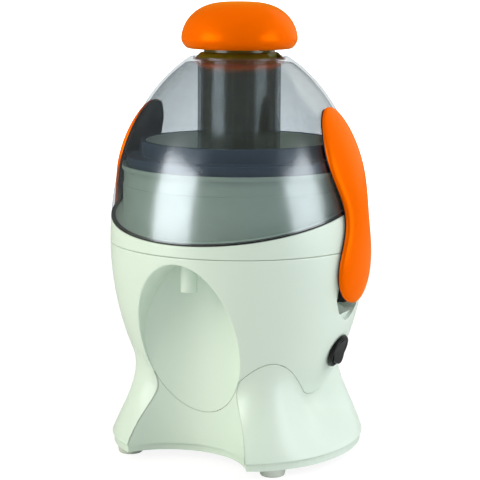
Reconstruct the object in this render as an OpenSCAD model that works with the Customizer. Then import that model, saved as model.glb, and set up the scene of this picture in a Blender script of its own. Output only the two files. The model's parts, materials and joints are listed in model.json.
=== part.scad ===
// Upright centrifugal juice extractor: an egg-shaped body on a lobed base, with a tumbler niche,
// a lift-off lid with a feed tube, a filter basket over a motor, and two side latches.
// Millimetres. The origin is on the table under the middle of the feet; +Z is up, the front is -Y.

/* [Egg body] */
// Largest radius of the egg
egg_r = 88; // [85:0.5:92]
// Height of the widest ring above the table
egg_z = 148; // [146:0.5:151]
// Half height of the egg above its widest ring
egg_up = 132; // [129:1:137]
// Half height of the egg below its widest ring
egg_down = 140; // [137:1:146]
// Wall of the white covers
wall = 2.6; // [2.2:0.1:3]
// Height of the level joint between housing and juice bowl
part_z = 145.3; // [144.5:0.1:146]
// Visible gap of a joint line between two covers
part_gap = 0.3; // [0.2:0.05:0.5]
// Thickness of the deck that closes the housing
deck_t = 2.7; // [2.4:0.1:3]

/* [Base] */
// How far the four lobes at the bottom reach past the egg's largest radius
lobe_out = 0; // [-2:0.5:2]
// How far the bottom outline draws in between two lobes
lobe_draw = 2; // [1:0.5:4]
// Height of the bottom edge of the base skirt
skirt_z = 10.4; // [9.5:0.1:11.5]
// Lowest height of the wavy joint between base and housing
wave_low = 43.5; // [41:0.5:46]
// Rise of the wavy joint from a dip to a peak
wave_rise = 30.3; // [27:0.1:33]
// Sharpness of the wave's peaks
wave_sharp = 1.5; // [1.2:0.1:1.8]
// Inset of the bottom cover behind the skirt
cover_inset = 1.4; // [1:0.1:2.5]
// Thickness of the bottom cover's plate
cover_t = 2.4; // [2:0.1:3]
// Radius of the hole for the mains lead
cord_r = 3.6; // [3:0.1:4]
// Height of the rubber feet
foot_h = 5.5; // [4.5:0.1:6.5]
// Radius of a rubber foot
foot_r = 9; // [8:0.1:10]
// Distance of a foot inside the bottom cover's edge
foot_edge = 0.5; // [0.3:0.1:2]
// Gap between a screw pillar and the base skirt
screw_edge = 7.4; // [6:0.1:9]

/* [Tumbler niche] */
// Radius of the upright hollow for the tumbler
niche_r = 51; // [48:0.5:53]
// Distance of the hollow's axis in front of the egg's widest ring
niche_out = 12.2; // [11:0.2:15]
// Half width of the oval opening
oval_w = 36.5; // [34:0.5:38]
// Half height of the oval opening
oval_h = 53.2; // [52:0.2:54]
// Height of the oval's middle
oval_z = 87.2; // [86.6:0.2:87.6]

/* [Spout] */
// Outer radius of the spout
spout_r = 5.4; // [5:0.1:6]
// Wall of the spout
spout_wall = 1.3; // [1:0.1:1.6]
// Distance of the spout from the bowl's inner wall
spout_edge = 1.5; // [1:0.1:3]
// Height of the spout's mouth
spout_z = 120; // [116:1:126]

/* [Juice bowl] */
// Gap between the top of the upright bowl wall and the lid
bowl_gap = 1.1; // [0.9:0.1:2]
// Height of the bowl wall above the level joint
bowl_h = 50.6; // [49:0.1:52]
// Height of the small step round the bowl wall above that joint
step_h = 39.2; // [36:0.1:42]
// Depth of that step
bowl_step = 0.7; // [0.4:0.1:1]
// Inner radius of the bowl's chimney round the drive
chimney_r = 15.6; // [15:0.1:17]

/* [Filter basket] */
// Height of the basket's floor above the level joint
basket_up = 12.7; // [11.7:0.1:14.7]
// Width of the juice channel between the basket's top and the bowl wall
channel_w = 10.4; // [9:0.1:12]
// How much the basket narrows from its top to its floor
basket_taper = 14; // [10:0.5:18]
// Sheet thickness of the basket
sheet = 0.8; // [0.6:0.1:1.2]
// Gap between the basket's rim and the lid
rim_gap = 1; // [0.9:0.1:2]
// Height of the rim's flat top above the bowl wall
rim_h = 8.1; // [7:0.1:9]
// Wall of the collar on the rim, outside the sieve
collar_t = 1.2; // [1:0.1:2]
// Height of the collar
collar_h = 10; // [7:0.5:12]
// Slots round the basket wall
slot_count = 24; // [16:1:32]
// Rings of teeth on the grater
tooth_rings = 4; // [3:1:5]

/* [Lid] */
// Height of the tilted joint between lid and bowl above the level joint, on the axis
lid_up = 28.3; // [27:0.1:30]
// Tilt of that joint, up towards the back
lid_tilt = 12.8; // [11.5:0.1:13.5]
// Wall of the lid
lid_wall = 1.8; // [1.6:0.1:2.2]
// Outer radius of the feed tube
tube_r = 28.2; // [27:0.1:29]
// Wall of the feed tube
tube_wall = 2.2; // [1.8:0.1:2.6]
// Height of the feed tube's lower end above the basket's floor
tube_up = 8; // [7:0.5:12]
// Height of the feed tube's mouth
tube_top = 268.2; // [265:0.2:270]
// Height of the black seal between lid and bowl
seal_h = 1.8; // [1.4:0.1:2.4]

/* [Pusher] */
// Running gap between the pusher and the feed tube
pusher_gap = 1.4; // [1:0.1:2]
// Height of the pusher's lower end above the feed tube's
pusher_up = 5.5; // [4:0.5:12]
// Height of the knob's underside above the feed tube
knob_up = 7.3; // [6:0.1:9]
// Height of the knob
knob_h = 31.5; // [28:0.5:35]
// Largest radius of the knob
knob_r = 39.4; // [38:0.2:41]
// Flutes round the pusher
flute_count = 12; // [8:1:16]

/* [Latches] */
// Height of a latch's upper tip
latch_top = 238.5; // [236:0.5:240]
// Height of a latch's lower tip
latch_low = 109.3; // [108.5:0.1:110]
// Half width of the upper swell
latch_w_up = 23.8; // [22:0.2:24.4]
// Height of the upper swell's middle
latch_z_up = 203; // [200:1:205]
// Half width of the lower swell
latch_w_low = 23.2; // [22:0.1:23.6]
// Height of the lower swell's middle
latch_z_low = 132.5; // [131:0.5:134]
// Half width of the waist
latch_w_mid = 16.1; // [14.5:0.1:17.5]
// Height of the waist
latch_z_mid = 167; // [164:1:170]
// Height of a latch's crown over the egg
latch_crown = 6.5; // [6:0.1:7]
// Height of a latch's edge over the egg
latch_edge = 3.4; // [3:0.1:4]
// Thickness of the black liner under the cover
liner_t = 1.6; // [1.4:0.1:2]
// Gap between the liner and what it lies on
liner_gap = 0.35; // [0.3:0.05:0.5]
// Depth of a latch's hinge pin below the egg
pin_in = 5.94; // [5.5:0.02:6.4]
// Height of a latch's hinge pin above its lower tip
pin_up = 5.2; // [4.9:0.1:5.6]
// Radius of a latch's hinge pin
pin_r = 2; // [1.8:0.1:2.2]
// Running clearance of a pin in its knuckle
pin_fit = 0.05; // [0.03:0.01:0.08]

// Half width of the leaf-shaped recess at a latch's foot
recess_w = 20.3; // [19.8:0.1:21]
// How far that recess reaches below the latch's lower tip
recess_drop = 12.5; // [11.5:0.1:13.5]
// Depth of that recess below the egg
recess_d = 5; // [4:0.2:5.6]

/* [Switch] */
// Radius of the switch's bezel
bezel_r = 12; // [11:0.5:13]
// Height of the switch's middle
switch_z = 75; // [73:0.5:76]
// Width of the bezel round the rocker
bezel_w = 3.5; // [3:0.1:4]
// Tilt of the rocker at rest, and its stroke to the other side
rocker_tilt = 9; // [7:1:10]

/* [Motor] */
// Radius of the motor shaft
shaft_r = 4; // [3.5:0.1:4.5]
// Radius of the armature
rotor_r = 16.8; // [15:0.2:17.5]
// Radial depth of the iron stack, outside the armature
stack_depth = 13.2; // [12:0.2:14]
// Air gap between armature and stack
air_gap = 0.5; // [0.4:0.1:0.8]
// Height of the iron stack
stack_h = 30; // [26:1:32]
// Radius of the drive coupling's body
drive_r = 9; // [8.5:0.1:9.5]
// Blades of the cooling fan
fan_blades = 9; // [7:1:11]

/* [Hidden] */
$fn = 96;

ivory = "#dfe9dc";
orange = "#ff7a00";
smoke = [0.35, 0.38, 0.40, 0.45];
black = "#1d1e1f";
steel = "#c5c8ca";

big = 400;                              // larger than the whole juicer
eps = 0.01;
bands = 24;                             // conical bands of an egg surface
steps = 72;                             // steps round the base and the wavy joint
rows = 8;                               // rows up the base skirt
seat = 0.3;                             // gap between two bodies that rest on each other
fit = 0.1;                              // gap between pieces fixed to each other
deck_z = part_z - part_gap / 2;         // top of the deck
deck_low = deck_z - deck_t;
joint_rise = egg_r * tan(lid_tilt) + 4; // more than the tilted joint rises from the axis to the back
pillar_r = 4.5;                         // radius of a screw pillar

lobe_r = egg_r + lobe_out;
bowl_top = part_z + bowl_h;
bowl_step_z = part_z + step_h;
lid_z = part_z + lid_up;
niche_y = egg_r + niche_out;            // distance of the hollow's axis in front of the middle
foot_xy = (lobe_r - cover_inset - foot_r - foot_edge) / sqrt(2);    // a foot's place along X and along Y
screw_xy = (egg(wave_low + wave_rise) - wall - screw_edge - pillar_r) / sqrt(2);
bowl_r = egg_in(bowl_top, lid_wall) - bowl_gap;
bowl_in = bowl_r - wall;
spout_y = bowl_in - spout_edge - spout_r;
basket_z = part_z + basket_up;          // underside of the basket floor
tube_low = basket_z + tube_up;
pusher_low = tube_low + pusher_up;
knob_low = tube_top + knob_up;
knob_top = knob_low + knob_h;
basket_top_r = bowl_in - channel_w;
basket_r = basket_top_r - basket_taper;
rim_z = bowl_top + rim_h;
rim_r = egg_in(rim_z, lid_wall) - rim_gap;
collar_r = basket_top_r + collar_t;
collar_z = rim_z + collar_h;
pin_z = latch_low + pin_up;
pin_x = egg(pin_z) - pin_in;
recess_low = latch_low - recess_drop;
latch_sweep = latch_crown + pin_in;     // furthest reach of a latch's foot from its pin
rocker_r = bezel_r - bezel_w;

// ---- The egg -------------------------------------------------------------------------------
function egg(z) = egg_r * sqrt(max(0, 1 - pow((z - egg_z) / (z > egg_z ? egg_up : egg_down), 2)));
function egg_slope(z) = egg(z + 0.5) - egg(z - 0.5);
function egg_in(z, t) = max(0, egg(z) - t * sqrt(1 + pow(egg_slope(z), 2)));
function ramp(a, b, n) = [for (i = [0 : n]) a + (b - a) * i / n];

module egg_solid(z0, z1, t = 0) {
    rotate_extrude()
        polygon(concat([[0, z0]], [for (z = ramp(z0, z1, bands)) [egg_in(z, t), z]], [[0, z1]]));
}

module egg_shell(z0, z1, t) {
    rotate_extrude()
        polygon(concat(
            [for (z = ramp(z0, z1, bands)) [egg(z), z]],
            [for (z = ramp(z1, z0, bands)) [egg_in(z, t), z]]));
}

// Everything above (or below) the tilted joint of the lid, moved up by d.
module above_joint(d) {
    translate([0, 0, lid_z + d]) rotate([lid_tilt, 0, 0])
        translate([-big / 2, -big / 2, 0]) cube(big);
}

module below_joint(d) {
    translate([0, 0, lid_z + d]) rotate([lid_tilt, 0, 0])
        translate([-big / 2, -big / 2, -big]) cube(big);
}

// ---- The base ------------------------------------------------------------------------------
function wave(a) = wave_low + wave_rise * pow((1 + cos(4 * (a - 45))) / 2, wave_sharp);
function lobe(a) = lobe_r - lobe_draw * (1 - cos(4 * (a - 45))) / 2;

// Radius of the base at angle a and at a share t of its height: it leaves the bottom edge with a
// slight flare and meets the egg tangentially at the wavy joint.
function flare(t, m0, m1) =
    m0 * (pow(t, 3) - 2 * pow(t, 2) + t) + (3 * pow(t, 2) - 2 * pow(t, 3)) + m1 * (pow(t, 3) - pow(t, 2));
function base_r(a, t) =
    let (top = egg(wave(a)), fall = top - lobe(a))
    lobe(a) + fall * flare(t, 0.9, egg_slope(wave(a)) * (wave(a) - skirt_z) / fall);
function base_point(a, t, inset) =
    let (r = base_r(a, t) - inset)
    [r * cos(a), r * sin(a), skirt_z + (wave(a) - part_gap / 2 - skirt_z) * t];

// Skirt as one closed loft: a U-shaped loop of points at each step round the axis.
module skirt_shell() {
    loop = 2 * (rows + 1);
    points = [for (k = [0 : steps - 1], i = [0 : loop - 1])
        let (a = 360 * k / steps)
        i <= rows ? base_point(a, i / rows, 0) : base_point(a, (loop - 1 - i) / rows, wall)];
    faces = [for (k = [0 : steps - 1], i = [0 : loop - 1], half = [0, 1])
        let (p = k * loop + i, q = k * loop + (i + 1) % loop,
             r = ((k + 1) % steps) * loop + i, s = ((k + 1) % steps) * loop + (i + 1) % loop)
        half == 0 ? [p, q, s] : [p, s, r]];
    polyhedron(points, faces, convexity = 8);
}

// Solid inside of the same skirt, closed by a fan at the bottom and at the wavy joint.
module skirt_core() {
    ring = rows + 1;
    points = concat(
        [for (k = [0 : steps - 1], i = [0 : rows]) base_point(360 * k / steps, i / rows, wall / 2)],
        [[0, 0, skirt_z], [0, 0, wave_low]]);
    low = steps * ring;
    faces = concat(
        [for (k = [0 : steps - 1], i = [0 : rows - 1], half = [0, 1])
            let (p = k * ring + i, r = ((k + 1) % steps) * ring + i)
            half == 0 ? [p, p + 1, r + 1] : [p, r + 1, r]],
        [for (k = [0 : steps - 1]) [low, k * ring, ((k + 1) % steps) * ring]],
        [for (k = [0 : steps - 1]) [low + 1, ((k + 1) % steps) * ring + rows, k * ring + rows]]);
    polyhedron(points, faces, convexity = 4);
}

// Block under the wavy joint, for cutting the housing to it. Its top has the skirt's own edges.
module wave_block(d) {
    far = 120;
    near = 20;
    ring = 6;
    points = [for (k = [0 : steps - 1], i = [0 : ring - 1])
        let (a = 360 * k / steps, edge = base_r(a, 1), top = wave(a) + d)
        [[near, 0], [far, 0], [far, top], [edge, top], [edge - wall, top], [near, top]][i]];
    places = [for (n = [0 : len(points) - 1])
        let (a = 360 * floor(n / ring) / steps)
        [points[n][0] * cos(a), points[n][0] * sin(a), points[n][1]]];
    faces = [for (k = [0 : steps - 1], i = [0 : ring - 1], half = [0, 1])
        let (p = k * ring + i, q = k * ring + (i + 1) % ring,
             r = ((k + 1) % steps) * ring + i, s = ((k + 1) % steps) * ring + (i + 1) % ring)
        half == 0 ? [p, q, s] : [p, s, r]];
    polyhedron(places, faces, convexity = 6);
}

// ---- The tumbler niche ---------------------------------------------------------------------
module niche_bore(r, z0 = -1, z1 = big) {
    translate([0, -niche_y, z0]) cylinder(r = r, h = z1 - z0);
}

module oval_prism(grow, far = big / 3) {
    back = niche_y - niche_r - 2 * wall;    // just behind the hollow's wall
    translate([0, -back, oval_z]) rotate([90, 0, 0])
        linear_extrude(height = far - back)
            polygon([for (k = [0 : steps - 1])
                let (a = 360 * k / steps) [(oval_w + grow) * cos(a), (oval_h + grow) * sin(a)]]);
}

// The hollow breaks out of the egg along an upright edge. Below meet_z that edge belongs to the
// base, so there the housing keeps only the panel inside the oval.
function edge_y(z) = -(pow(niche_y, 2) + pow(egg(z), 2) - pow(niche_r, 2)) / (2 * niche_y);
function edge_x(z) = sqrt(max(0, pow(egg(z), 2) - pow(edge_y(z), 2)));
meet_z = [for (z = [wave_low : 0.25 : oval_z]) if (z > wave(atan2(edge_x(z), -edge_y(z)))) z][0];

// ---- White covers --------------------------------------------------------------------------
gland_z = 22;                           // height of the cord gland, at the back
gland_r = 6;
gland_nose = 8;
function skirt_r(a, z) = base_r(a, (z - skirt_z) / (wave(a) - skirt_z));
gland_y = skirt_r(90, gland_z);         // where the gland's middle leaves the skirt
gland_back = skirt_r(90, gland_z + gland_r + 2) - 2 * wall;     // front of its inner collar

module base_skirt() color(ivory) {
    difference() {
        resize([0, 0, 0]) difference() {
            union() {
                skirt_shell();
                intersection() {
                    difference() {
                        niche_bore(niche_r + wall);
                        niche_bore(niche_r);
                    }
                    skirt_core();
                }
            }
            niche_bore(niche_r);
            intersection() {
                oval_prism(part_gap / 2);
                niche_bore(niche_r + wall + eps, 0, oval_z);
            }
        }
        translate([0, gland_back - 1, gland_z]) rotate([-90, 0, 0]) cylinder(r = gland_r + fit, h = 40);
    }
}

cover_low = foot_h;
cover_top = skirt_z - part_gap;
screw_r = 1.5;
screw_head_r = 3;
screw_head_h = 1.9;
screw_seat = cover_low + 1;             // where a cover screw's head bears
foot_stem_r = 3.5;
foot_barb = 1;                          // overhang of a foot's snap head
slot_pitch = 6;                         // air slots in the bottom cover
slot_w = 3;
slot_len = 44;

module cover_outline(inset) {
    difference() {
        polygon([for (k = [0 : steps - 1])
            let (a = 360 * k / steps) (lobe(a) - inset) * [cos(a), sin(a)]]);
        translate([0, -niche_y]) circle(r = niche_r + inset);
    }
}

module corners(xy) {
    for (x = [-1, 1], y = [-1, 1]) translate([x * xy, y * xy, 0]) children();
}

module bottom_cover() color(ivory) difference() {
    translate([0, 0, cover_low]) linear_extrude(height = cover_top - cover_low)
        cover_outline(cover_inset);
    translate([0, 0, cover_low + cover_t]) linear_extrude(height = big)
        cover_outline(cover_inset + wall);
    corners(screw_xy) translate([0, 0, -1]) cylinder(r = screw_r + 2 * fit, h = 20);
    corners(screw_xy) translate([0, 0, -1]) cylinder(r = screw_head_r + seat, h = 1 + screw_seat + fit);
    corners(foot_xy) translate([0, 0, -1]) cylinder(r = foot_stem_r + fit, h = 20);
    for (k = [-4 : 4])                  // air inlet slots under the fan
        translate([k * slot_pitch - slot_w / 2, -slot_len / 2, 0]) cube([slot_w, slot_len, 20]);
}

module rubber_feet() color(black) corners(foot_xy) {
    difference() {
        cylinder(r1 = foot_r - 0.8, r2 = foot_r, h = foot_h - fit);
        translate([0, 0, -eps]) cylinder(r1 = foot_r - 4, r2 = foot_r - 5, h = 1.2);
    }
    translate([0, 0, foot_h - 0.5]) cylinder(r = foot_stem_r, h = cover_t + 1);
    translate([0, 0, foot_h + cover_t + fit / 2])
        cylinder(r1 = foot_stem_r + foot_barb, r2 = foot_stem_r - foot_barb, h = 1.5);
}

module cover_screws() color(steel) corners(screw_xy) {
    translate([0, 0, screw_seat - screw_head_h]) cylinder(r = screw_head_r, h = screw_head_h);
    translate([0, 0, screw_seat - eps]) cylinder(r = screw_r, h = 14);
}

// Leaf-shaped recess at the foot of a latch: a shallow dent, and a round pocket that the foot swings
// into. Shown on +X.
pocket_r = latch_sweep + 0.5;
pocket_w = latch_w(pin_z) + 0.8;        // half width, more than the foot's at the hinge pin
knuckle_r = 4.4;
knuckle_w = pocket_w - 3.3;             // half width
recess_top = pin_z + 6;

module leaf(grow) {
    sides = [[0.42, 4], [0.68, 7], [0.81, 10.6], [0.9, 16.7], [1, recess_top - recess_low]];
    right = [for (p = sides) [recess_w * p[0] + grow, recess_low + p[1] + (p[1] > 20 ? grow : -grow / 2)]];
    polygon(concat([[0, recess_low - grow]], right, [for (i = [4 : -1 : 0]) [-right[i].x, right[i].y]]));
}

// Floor of the dent: a plane that leaves some wall outside the hinge pin.
function dent_x(z) =
    let (low = egg(recess_low) - recess_d / 2)
    low + (pin_x + pin_r + 1 - low) * (z - recess_low) / (pin_z - recess_low);

module recess(grow) {
    intersection() {
        rotate([90, 0, 90]) linear_extrude(height = big) leaf(grow);
        union() {
            translate([pin_x, 0, pin_z]) rotate([90, 0, 0])
                cylinder(r = pocket_r + grow, h = 2 * (pocket_w + grow), center = true);
            rotate([90, 0, 0]) linear_extrude(height = 100, center = true) polygon([
                [dent_x(recess_low) - grow, recess_low - grow], [egg_r + 20, recess_low - grow],
                [egg_r + 20, recess_top + grow], [dent_x(recess_top) - grow, recess_top + grow]]);
        }
    }
}

module both_sides() {
    children();
    mirror([1, 0, 0]) children();
}

switch_lean = 90 + atan(egg_slope(switch_z));           // from +Z down to the switch's axis

module at_switch() {
    translate([egg(switch_z), 0, switch_z]) rotate([0, switch_lean, 0]) children();
}

boss_xy = 30;                           // place of the motor's hanging bosses
boss_r = 5;
boss_h = 18.45;
boss_low = deck_low - boss_h;
seal_r = 9.5;
pillar_top = 98;

module housing_body() {
    difference() {
        union() {
            egg_shell(wave_low - 2, deck_z, wall);
            intersection() {            // rim round the oval opening and the wall behind it
                oval_prism(wall);
                niche_bore(niche_r + wall, meet_z - 1, deck_low + eps);
                egg_solid(meet_z - 1, deck_low + eps);
            }
        }
        wave_block(part_gap / 2);
    }
    translate([0, 0, deck_low]) cylinder(r = egg(deck_z) - wall / 2, h = deck_t);
    intersection() {                    // blocks behind the hinge pockets
        both_sides() recess(wall);
        egg_solid(switch_z + 8, deck_low, wall / 2);
    }
}

module lower_panel() {
    intersection() {
        oval_prism(-part_gap / 2, niche_y);
        difference() {
            niche_bore(niche_r + wall, 0, meet_z + 1);
            niche_bore(niche_r, 0, meet_z + 2);
        }
    }
}

module motor_housing() color(ivory) difference() {
    union() {
        difference() {
            housing_body();
            intersection() {
                oval_prism(0);
                niche_bore(niche_r);
            }
            niche_bore(niche_r, 0, meet_z);
        }
        lower_panel();
        corners(boss_xy) translate([0, 0, boss_low]) cylinder(r = boss_r, h = boss_h + eps);
        corners(screw_xy) translate([0, 0, cover_low + cover_t + fit])
            cylinder(r = pillar_r, h = pillar_top - cover_low - cover_t);
        intersection() {                // ribs from the pillars to the shell
            for (a = [45 : 90 : 315]) rotate([0, 0, a])
                translate([screw_xy * sqrt(2), -1.2, pillar_top - 16]) cube([40, 2.4, 16]);
            egg_solid(wave_low, deck_low, wall / 2);
        }
        translate([0, 0, deck_low - 3]) cylinder(r = seal_r + 2.5, h = 3 + eps);
    }
    both_sides() {
        recess(0);
        translate([pin_x, 0, pin_z]) rotate([90, 0, 0])
            cylinder(r = pin_r + pin_fit, h = 2 * (pocket_w + wall), center = true);
    }
    translate([0, -spout_y, spout_z - 1]) cylinder(r = spout_r + 0.6, h = big);
    translate([0, 0, deck_low - 10]) cylinder(r = seal_r + fit, h = 30);
    corners(boss_xy) translate([0, 0, boss_low - 1]) cylinder(r = screw_r + fit, h = 14);
    corners(screw_xy) cylinder(r = screw_r + fit, h = cover_low + 26);
    at_switch() translate([0, 0, -20]) cylinder(r = bezel_r - 2 + fit, h = 40);
}

module latch_pins() color(steel) both_sides()
    translate([pin_x, 0, pin_z]) rotate([90, 0, 0])
        cylinder(r = pin_r, h = 2 * (pocket_w + wall) - 0.6, center = true);

module cord_gland() color(black) translate([0, 0, gland_z]) rotate([-90, 0, 0]) difference() {
    union() {
        translate([0, 0, gland_back]) cylinder(r = gland_r, h = gland_y - gland_back + 3);
        translate([0, 0, gland_y + 3 - eps]) cylinder(r1 = gland_r, r2 = gland_r - 1.2, h = gland_nose - 3);
        translate([0, 0, gland_back - 2.5]) cylinder(r = gland_r + 1.8, h = 2.5 + eps);
    }
    cylinder(r = cord_r, h = big);
}

// ---- Switches ------------------------------------------------------------------------------
module switch_bezel() color(black) at_switch() difference() {
    union() {
        translate([0, 0, 0.4]) cylinder(r1 = bezel_r, r2 = bezel_r - 1, h = 2.2);
        translate([0, 0, -13]) cylinder(r = bezel_r - 2, h = 14);
    }
    translate([0, 0, -6]) cylinder(r = rocker_r + 0.6, h = 20);
    rotate([90, 0, 0]) cylinder(r = 1 + pin_fit, h = 2 * bezel_r - 6, center = true);
}

module rocker_switch() color(black) at_switch() {
    rotate([0, -rocker_tilt, 0]) intersection() {
        translate([0, 0, -2.5]) cylinder(r = rocker_r, h = 8);
        rotate([90, 0, 0]) linear_extrude(height = 40, center = true)
            polygon([[-bezel_r, -2.5], [bezel_r, -2.5], [bezel_r, 4.2], [0, 2.6], [-bezel_r, 4.2]]);
    }
    rotate([90, 0, 0]) cylinder(r = 1, h = 2 * bezel_r - 6.6, center = true);
}

module interlock_switch() color(black) translate([30 - egg(deck_z), 0, deck_low - fit]) {
    translate([-5, -10, -14]) cube([10, 20, 14]);
    translate([-5, -1.5, -18]) cube([1, 3, 4.5]);
    translate([4, -1.5, -18]) cube([1, 3, 4.5]);
}

// ---- Motor ---------------------------------------------------------------------------------
bracket_t = 4;
mount_h = 4;
coil_over = 6;                          // how far the windings stand out of the iron stack
upper_z = boss_low - mount_h - bracket_t;       // underside of the upper bracket
stack_z = upper_z - coil_over - 2 - stack_h;
commutator_r = 9;
commutator_h = 11;
commutator_z = stack_z - coil_over + 1 - commutator_h;
brush_z = commutator_z + 2;
brush_w = 6;
lower_z = commutator_z - 12;
bearing_h = 6;
bearing_r = 9;
stator_r = rotor_r + stack_depth;
bolt_x = stator_r + 4;
fan_h = 9;
fan_z = lower_z - fan_h - 3.5;
fan_r = 33;
shaft_low = fan_z - 3.5;
drive_z = deck_z + 1.6;
drive_top = basket_z - 2;
shaft_top = drive_top - 2;
coil_x = rotor_r + 2.2;
coil_y = rotor_r - 3.8;
coil_w = [stack_depth - 6, 8.2];        // one leg of a winding, in plan

module ring(r_out, r_in, h) difference() {
    cylinder(r = r_out, h = h);
    translate([0, 0, -1]) cylinder(r = r_in, h = h + 2);
}

module stator_core() color(steel) translate([0, 0, stack_z]) difference() {
    cylinder(r = stator_r, h = stack_h);
    translate([0, 0, -1]) cylinder(r = rotor_r + air_gap, h = stack_h + 2);
    for (s = [-1, 1]) {                 // windows for the coils beside the two poles
        for (y = [-1, 1])
            translate([s * coil_x, y * coil_y, stack_h / 2])
                cube([coil_w.x + 0.8, coil_w.y + 0.8, stack_h + 2], center = true);
        translate([-8, s * (stator_r + 2) - 4, -1]) cube([16, 8, stack_h + 2]);
    }
}

module field_coils() color("#b5651d") for (s = [-1, 1]) translate([s * coil_x, 0, stack_z + stack_h / 2]) {
    for (y = [-1, 1]) translate([0, y * coil_y, 0])
        cube([coil_w.x, coil_w.y, stack_h + 2 * coil_over], center = true);
    for (z = [-1, 1]) translate([0, 0, z * (stack_h / 2 + coil_over - 2.5)])
        cube([coil_w.x - 2, 2 * coil_y, 5], center = true);
}

// Flat plate with a cup for a bearing; children are more of the plate's outline.
module bracket(r_bearing, h_cup) difference() {
    union() {
        linear_extrude(height = bracket_t) {
            circle(r = r_bearing + 4);
            square([2 * bolt_x, 14], center = true);
            for (s = [-1, 1]) translate([s * bolt_x, 0]) circle(r = 7);
            children();
        }
        translate([0, 0, bracket_t / 2]) cylinder(r = r_bearing + 3, h = h_cup - bracket_t / 2);
    }
    translate([0, 0, -1]) cylinder(r = r_bearing + fit, h = h_cup + 2);
    for (s = [-1, 1]) translate([s * bolt_x, 0, -1]) cylinder(r = screw_r + fit, h = bracket_t + 2);
}

module upper_bracket() color("#8f9296") difference() {
    translate([0, 0, upper_z]) bracket(bearing_r, bearing_h + 3)
        for (a = [45, 135]) rotate(a)
            square([2 * boss_xy * sqrt(2) + 2 * boss_r, 2 * boss_r], center = true);
    corners(boss_xy) cylinder(r = screw_r + fit, h = big);
}

module lower_bracket() color("#8f9296")
    translate([0, 0, lower_z]) bracket(bearing_r - 1, bearing_h + 1);

module motor_bolts() color(steel) for (s = [-1, 1]) translate([s * bolt_x, 0, 0]) {
    translate([0, 0, lower_z - 2.5]) cylinder(r = 3, h = 2.5 - eps);
    translate([0, 0, lower_z - 1]) cylinder(r = screw_r, h = upper_z + bracket_t - lower_z + 3);
    translate([0, 0, upper_z + bracket_t + eps]) cylinder(r = 3, h = 2.5, $fn = 6);
    // spacer sleeves that clamp the stack between the brackets
    translate([0, 0, lower_z + bracket_t + eps]) ring(3.4, screw_r + fit, upper_z - lower_z - bracket_t - 2 * eps);
}

module rubber_mounts() color(black) corners(boss_xy)
    translate([0, 0, upper_z + bracket_t + fit / 2]) ring(boss_r, screw_r + fit, boss_low - upper_z - bracket_t - fit);

module mount_screws() color(steel) corners(boss_xy) {
    translate([0, 0, upper_z - 2.2]) cylinder(r = 3.2, h = 2.2 - eps);
    translate([0, 0, upper_z - 1]) cylinder(r = screw_r, h = 18);
}

module upper_bearing() color(steel) translate([0, 0, upper_z + 2]) ring(bearing_r, shaft_r + pin_fit, bearing_h);

module lower_bearing() color(steel) translate([0, 0, lower_z + 0.5]) ring(bearing_r - 1, shaft_r + pin_fit, bearing_h);

module brush_holders() color("#6b4a2b") for (s = [0, 1]) mirror([s, 0, 0]) difference() {
    translate([commutator_r + 3, -brush_w / 2 - 1.5, lower_z + bracket_t + fit / 2])
        cube([14, brush_w + 3, brush_z + brush_w + 1 - lower_z - bracket_t]);
    translate([commutator_r, -brush_w / 2 - fit, brush_z - fit]) cube([20, brush_w + 2 * fit, brush_w + 2 * fit]);
}

module carbon_brushes() color("#2b2b2d") for (s = [0, 1]) mirror([s, 0, 0])
    translate([commutator_r + 0.4, -brush_w / 2, brush_z]) cube([13.6, brush_w, brush_w]);

module shaft_seal() color(black) translate([0, 0, deck_low - 3]) ring(seal_r, shaft_r + 0.15, deck_t + 3 + 0.6);

module motor_shaft() color(steel) translate([0, 0, shaft_low]) cylinder(r = shaft_r, h = shaft_top - shaft_low);

module rotor_core() color("#70757a") translate([0, 0, stack_z]) difference() {
    ring(rotor_r, shaft_r + fit / 2, stack_h);
    for (k = [0 : 11]) rotate([0, 0, 30 * k])
        translate([rotor_r - 4.5, -0.9, -1]) cube([6, 1.8, stack_h + 2]);
}

module commutator() color("#b87333") translate([0, 0, commutator_z]) ring(commutator_r, shaft_r + fit / 2, commutator_h);

module cooling_fan() color("#3a3f44") translate([0, 0, fan_z]) difference() {
    union() {
        cylinder(r = 8, h = fan_h);
        translate([0, 0, fan_h - 1.6]) cylinder(r = fan_r, h = 1.6);
        for (k = [0 : fan_blades - 1]) rotate([0, 0, 360 / fan_blades * k])
            translate([6, -0.8, 0]) cube([fan_r - 6.5, 1.6, fan_h - 1]);
    }
    translate([0, 0, -1]) cylinder(r = shaft_r + fit / 2, h = fan_h + 2);
}

tooth_w = 3;
tooth_h = 2.4;

module drive_star(grow, h) linear_extrude(height = h) {
    circle(r = drive_r + grow);
    for (k = [0 : 2]) rotate(60 * k)
        square([2 * (drive_r + tooth_h + grow), tooth_w + 2 * grow], center = true);
}

module drive_coupling() color(black) translate([0, 0, drive_z]) difference() {
    drive_star(0, drive_top - drive_z);
    translate([0, 0, -1]) cylinder(r = shaft_r + fit / 2, h = shaft_top - drive_z + 1.1);
}

// ---- Juice bowl ----------------------------------------------------------------------------
bowl_z = part_z + part_gap / 2;
chimney_z = basket_z - 2.5;

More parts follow.
